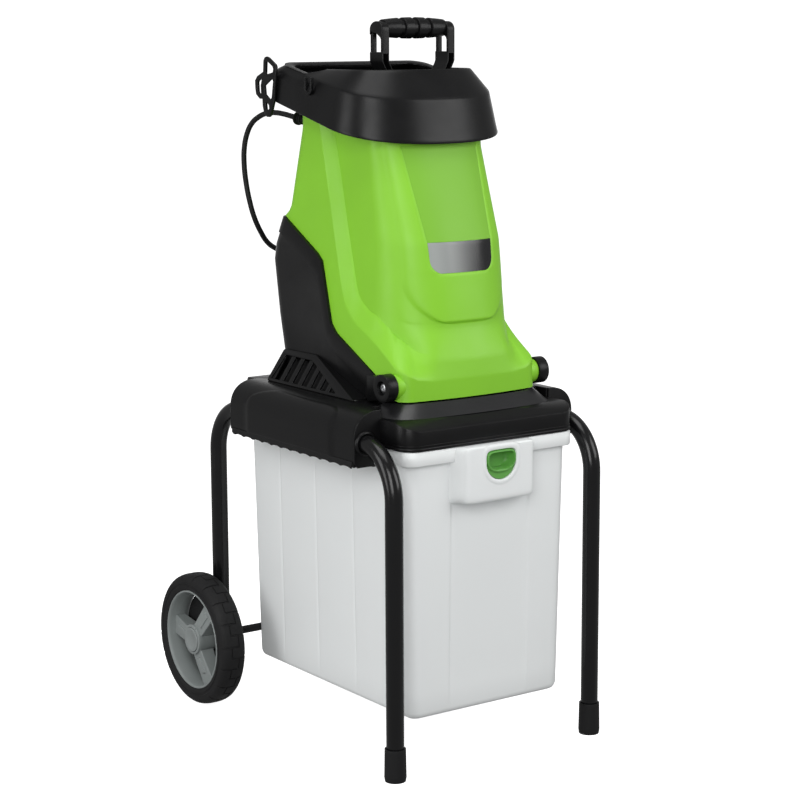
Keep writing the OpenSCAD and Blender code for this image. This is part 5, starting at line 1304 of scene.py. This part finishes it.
BOSS_R = 17.4
bolt_profile = [(107, 4.9), (132.5, 4.9), (132.5, 6.4), (133, 6.9), (135.4, 6.9), (136.8, 5.8), (137.5, 4), (137.6, 3),
                (136.4, 2.7)]
ring = [(HINGE[0] + BOSS_R * cos(a), HINGE[1] + BOSS_R * sin(a)) for a in full_turn(40)]
for side, word in SIDES:
    arm = [on_deck(side * x, y, h) for x in (123.6, 136) for y, h in ring if y > HINGE[0] + 8]
    arm += [on_deck(side * x, -84, h) for x in (116, 118.3) for h in (0.6, 36)]
    hull_piece("hinge_arm_" + word, arm, shell_black, "base", 1.5)
    turned("hinge_bolt_" + word, bolt_profile, on_deck(0, *HINGE), (side, 0, 0), zinc_steel, "base",
           ["hinge_bolts"] if side < 0 else ())
print("hinge arms and bolts")

# %% [markdown]
# The deck's flanks cover the tubes. Their shoulder is round with a shallow step
# in it, a soft line that rises at the rear and runs forwards. The skin below is
# a grid whose rows follow that step, laid closely over the CAD flank. Under its
# lower edge the stiffening ribs show as a dark comb.

# %% Flanks of the deck
FLANK_IN, FLANK_OUT, FLANK_END = 148, 190, 160.5
SHOULDER_FOOT, SHOULDER_RISE = 465.2, 37.8
SHOULDER_POWER = 0.87
STEP_LINE = [(-112, 60), (-103, 42.5), (-90, 30.5), (-72, 28), (-31, 30.5), (16, 28.5), (61, 25), (83, 35.5), (98, 45),
             (110, 55), (116, 65), (122, 80)]
TUBE_AT = (172.5, 459)
RIB_COUNT, RIB_PITCH, RIB_WIDTH = 13, 25.5, 3
COMB_END = 158


def shoulder(t, lift):
    """A point of the flank's section, at an angle from the top and a little proud of the CAD."""
    a = radians(t)
    return (FLANK_IN + (FLANK_OUT - FLANK_IN + lift) * sin(a) ** SHOULDER_POWER,
            SHOULDER_FOOT + (SHOULDER_RISE + lift) * cos(a) ** SHOULDER_POWER)


def flank_section(y):
    """The flank's outline across the machine at a place along it, from the top to the lower edge."""
    step = lookup(y, STEP_LINE)
    low = 0.5 + 1.3 * share(y, -112, -100) * share(-y, -122, -112)
    line = [shoulder(t, 0.5 * share(t, 0, 8)) for t in [0] + spread(0, step - 1.6, 10)]
    line += [shoulder(t, low) for t in [step + 1.6] + spread(step + 1.6, 90, 10)]
    x = FLANK_OUT + low
    line += [(x, z) for z in spread(SHOULDER_FOOT, 436, 4)]
    return line + [(x - 0.3, 434.6), (x - 1.2, 433.8), (FLANK_OUT - 0.6, 433.6)]


flank_places = [-FLANK_END] + ticks(-FLANK_END, (-112, 5), (-84, 10), (58, 14), (122, 18), (FLANK_END, 5))
end_outline = flank_section(FLANK_END)[:-4]
end_outline += [(190.5, 434), (185, 426), (156, 426), (156, 452), (147, 452), (147, 503.4)]
socket = [(-1, 13), (5.6, 13), (6.4, 13.4), (6.8, 14.4), (6.4, 15.8), (5.4, 16.8), (2, 17.4), (-1, 17.4)]
comb = [(-COMB_END, 435)]
for k in range(RIB_COUNT):
    y = -156 + RIB_PITCH * k
    comb += [(y, 425.4), (y + RIB_WIDTH, 425.4)]
    comb += [(y + RIB_WIDTH + (RIB_PITCH - RIB_WIDTH) * t, 425.8 + 1.4 * sin(pi * t))
             for t in (0.12, 0.3, 0.5, 0.7, 0.88)]
comb = [p for p in comb if p[0] <= COMB_END] + [(COMB_END, 435)]
for side, word in SIDES:
    sections = [[at(side * x, y, z) for x, z in flank_section(y)] for y in flank_places]
    grid_piece("flank_skin_" + word, sections, shell_black, "base", smooth=60)
    cut_sheet("flank_comb_" + word, [comb], 1.6, 0.2, at(side * 190.4, 0, 0), rubber_black, "base")
    outlines = [eased([(side * x, z) for x, z in end_outline], 0.4),
                [(side * a, b) for a, b in arc(TUBE_AT, (14.8, 14.8), 0, 345, 23)]]
    for end, place in ((-1, "front"), (1, "rear")):
        cut_sheet("flank_end_%s_%s" % (place, word), outlines, 3, 0.8, at(0, end * (FLANK_END + 1.3), 0), shell_black,
                  "base", across=(1, 0, 0), smooth=30)
        revolved("tube_socket_%s_%s" % (place, word), socket, at(side * TUBE_AT[0], end * FLANK_END, TUBE_AT[1]),
                 (0, end, 0), shell_black, "base")
print("flanks with", len(flank_places), "sections each")

# %% [markdown]
# Two strips finish the deck's front. A sloped trim surrounds the foot of the
# hopper. It shines more than the deck, and its black is a little lighter: painted
# light for the lamp that its upward slope faces. The hanging lip ends below in a
# thick bead with a fine line over it. Both follow an outline, so both are
# sections drawn along a path.

# %% Trim and lip of the deck
PLINTH_POWER = 7
PLINTH_END = 80
LIP_SIDE, LIP_FRONT, LIP_CORNER = 148, -226, 26
# A lighter copy of the deck's black: painted light on the upward-facing trim, together with a real, higher shine.
trim_satin_painted_light = finish("trim_satin_painted_light", "#1C1C1E", gloss=(0.3, 0.36), grain=0.15)


def plinth_point(u, out, h):
    """A point of the plinth round the skirt, at a share of its half width."""
    y = -SKIRT_FRONT - out + SKIRT_BOW * u * u + (SKIRT_FRONT - PLINTH_END - SKIRT_BOW) * swell(u, PLINTH_POWER)
    return Vector((u * (SKIRT_HALF + out), y, h))


rows = []
for t in (0, 0.04, 0.3, 0.6, 0.9, 0.97, 1):
    out, h = mix(19.8, 3, t), mix(-13, 5.6, t) - (0.5 if t == 1 else 0)
    half = [plinth_point(sin(radians(85 * k / 40)), out, h) for k in range(41)]
    half.append(Vector((SKIRT_HALF + out, -135, h)))
    rows.append(half)
grid_piece("plinth_trim", placed(rows, whole), trim_satin_painted_light, "base", slot="shell_black")
path = [(x, LIP_FRONT, 0, 1) for x in [0] + spread(0, LIP_SIDE - LIP_CORNER, 8)[:-1]]
path += [(LIP_SIDE - LIP_CORNER + LIP_CORNER * sin(a), LIP_FRONT + LIP_CORNER - LIP_CORNER * cos(a),
          sin(a), cos(a)) for a in [0] + spread(0, pi / 2, 12)]
path += [(LIP_SIDE, y, 1, 0) for y in (-182, -164)]
for name, section in (("lip_bead", [(-0.6, 452.2), (1, 452.4), (1.5, 453.2), (1.5, 455.4), (1, 456.2), (-0.6, 456.6)]),
                      ("lip_line", [(-0.6, 458.4), (0.5, 458.6), (0.7, 459.1), (0.5, 459.6), (-0.6, 459.8)])):
    lines = [[Vector((x + nx * d, y - ny * d, z)) for x, y, nx, ny in path] for d, z in section]
    grid_piece(name, [[at(*p) for p in whole(line)] for line in lines], shell_black, "base", smooth=50)
print("trim and lip")

# %% [markdown]
# A small clip on the hood's left side holds the lead. It is a flat letter U.

# %% Lead clip
clip = [(19, 443), (19, 426)] + arc((28, 425), (9, 6), 180, 360, 12) + [(37, 443), (33.6, 443), (33.6, 426)]
clip += arc((28, 426), (5.6, 3), 360, 180, 10) + [(22.4, 443)]
cut_sheet("lead_clip", [clip], 5, 0.8, on_deck(-133.5, 0, 0), shell_black, "upper")
print("lead clip")

# %% Close
bpy.context.view_layer.update()
low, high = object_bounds()
print("visual box in mm:", [round(v * 1000) for v in high - low])
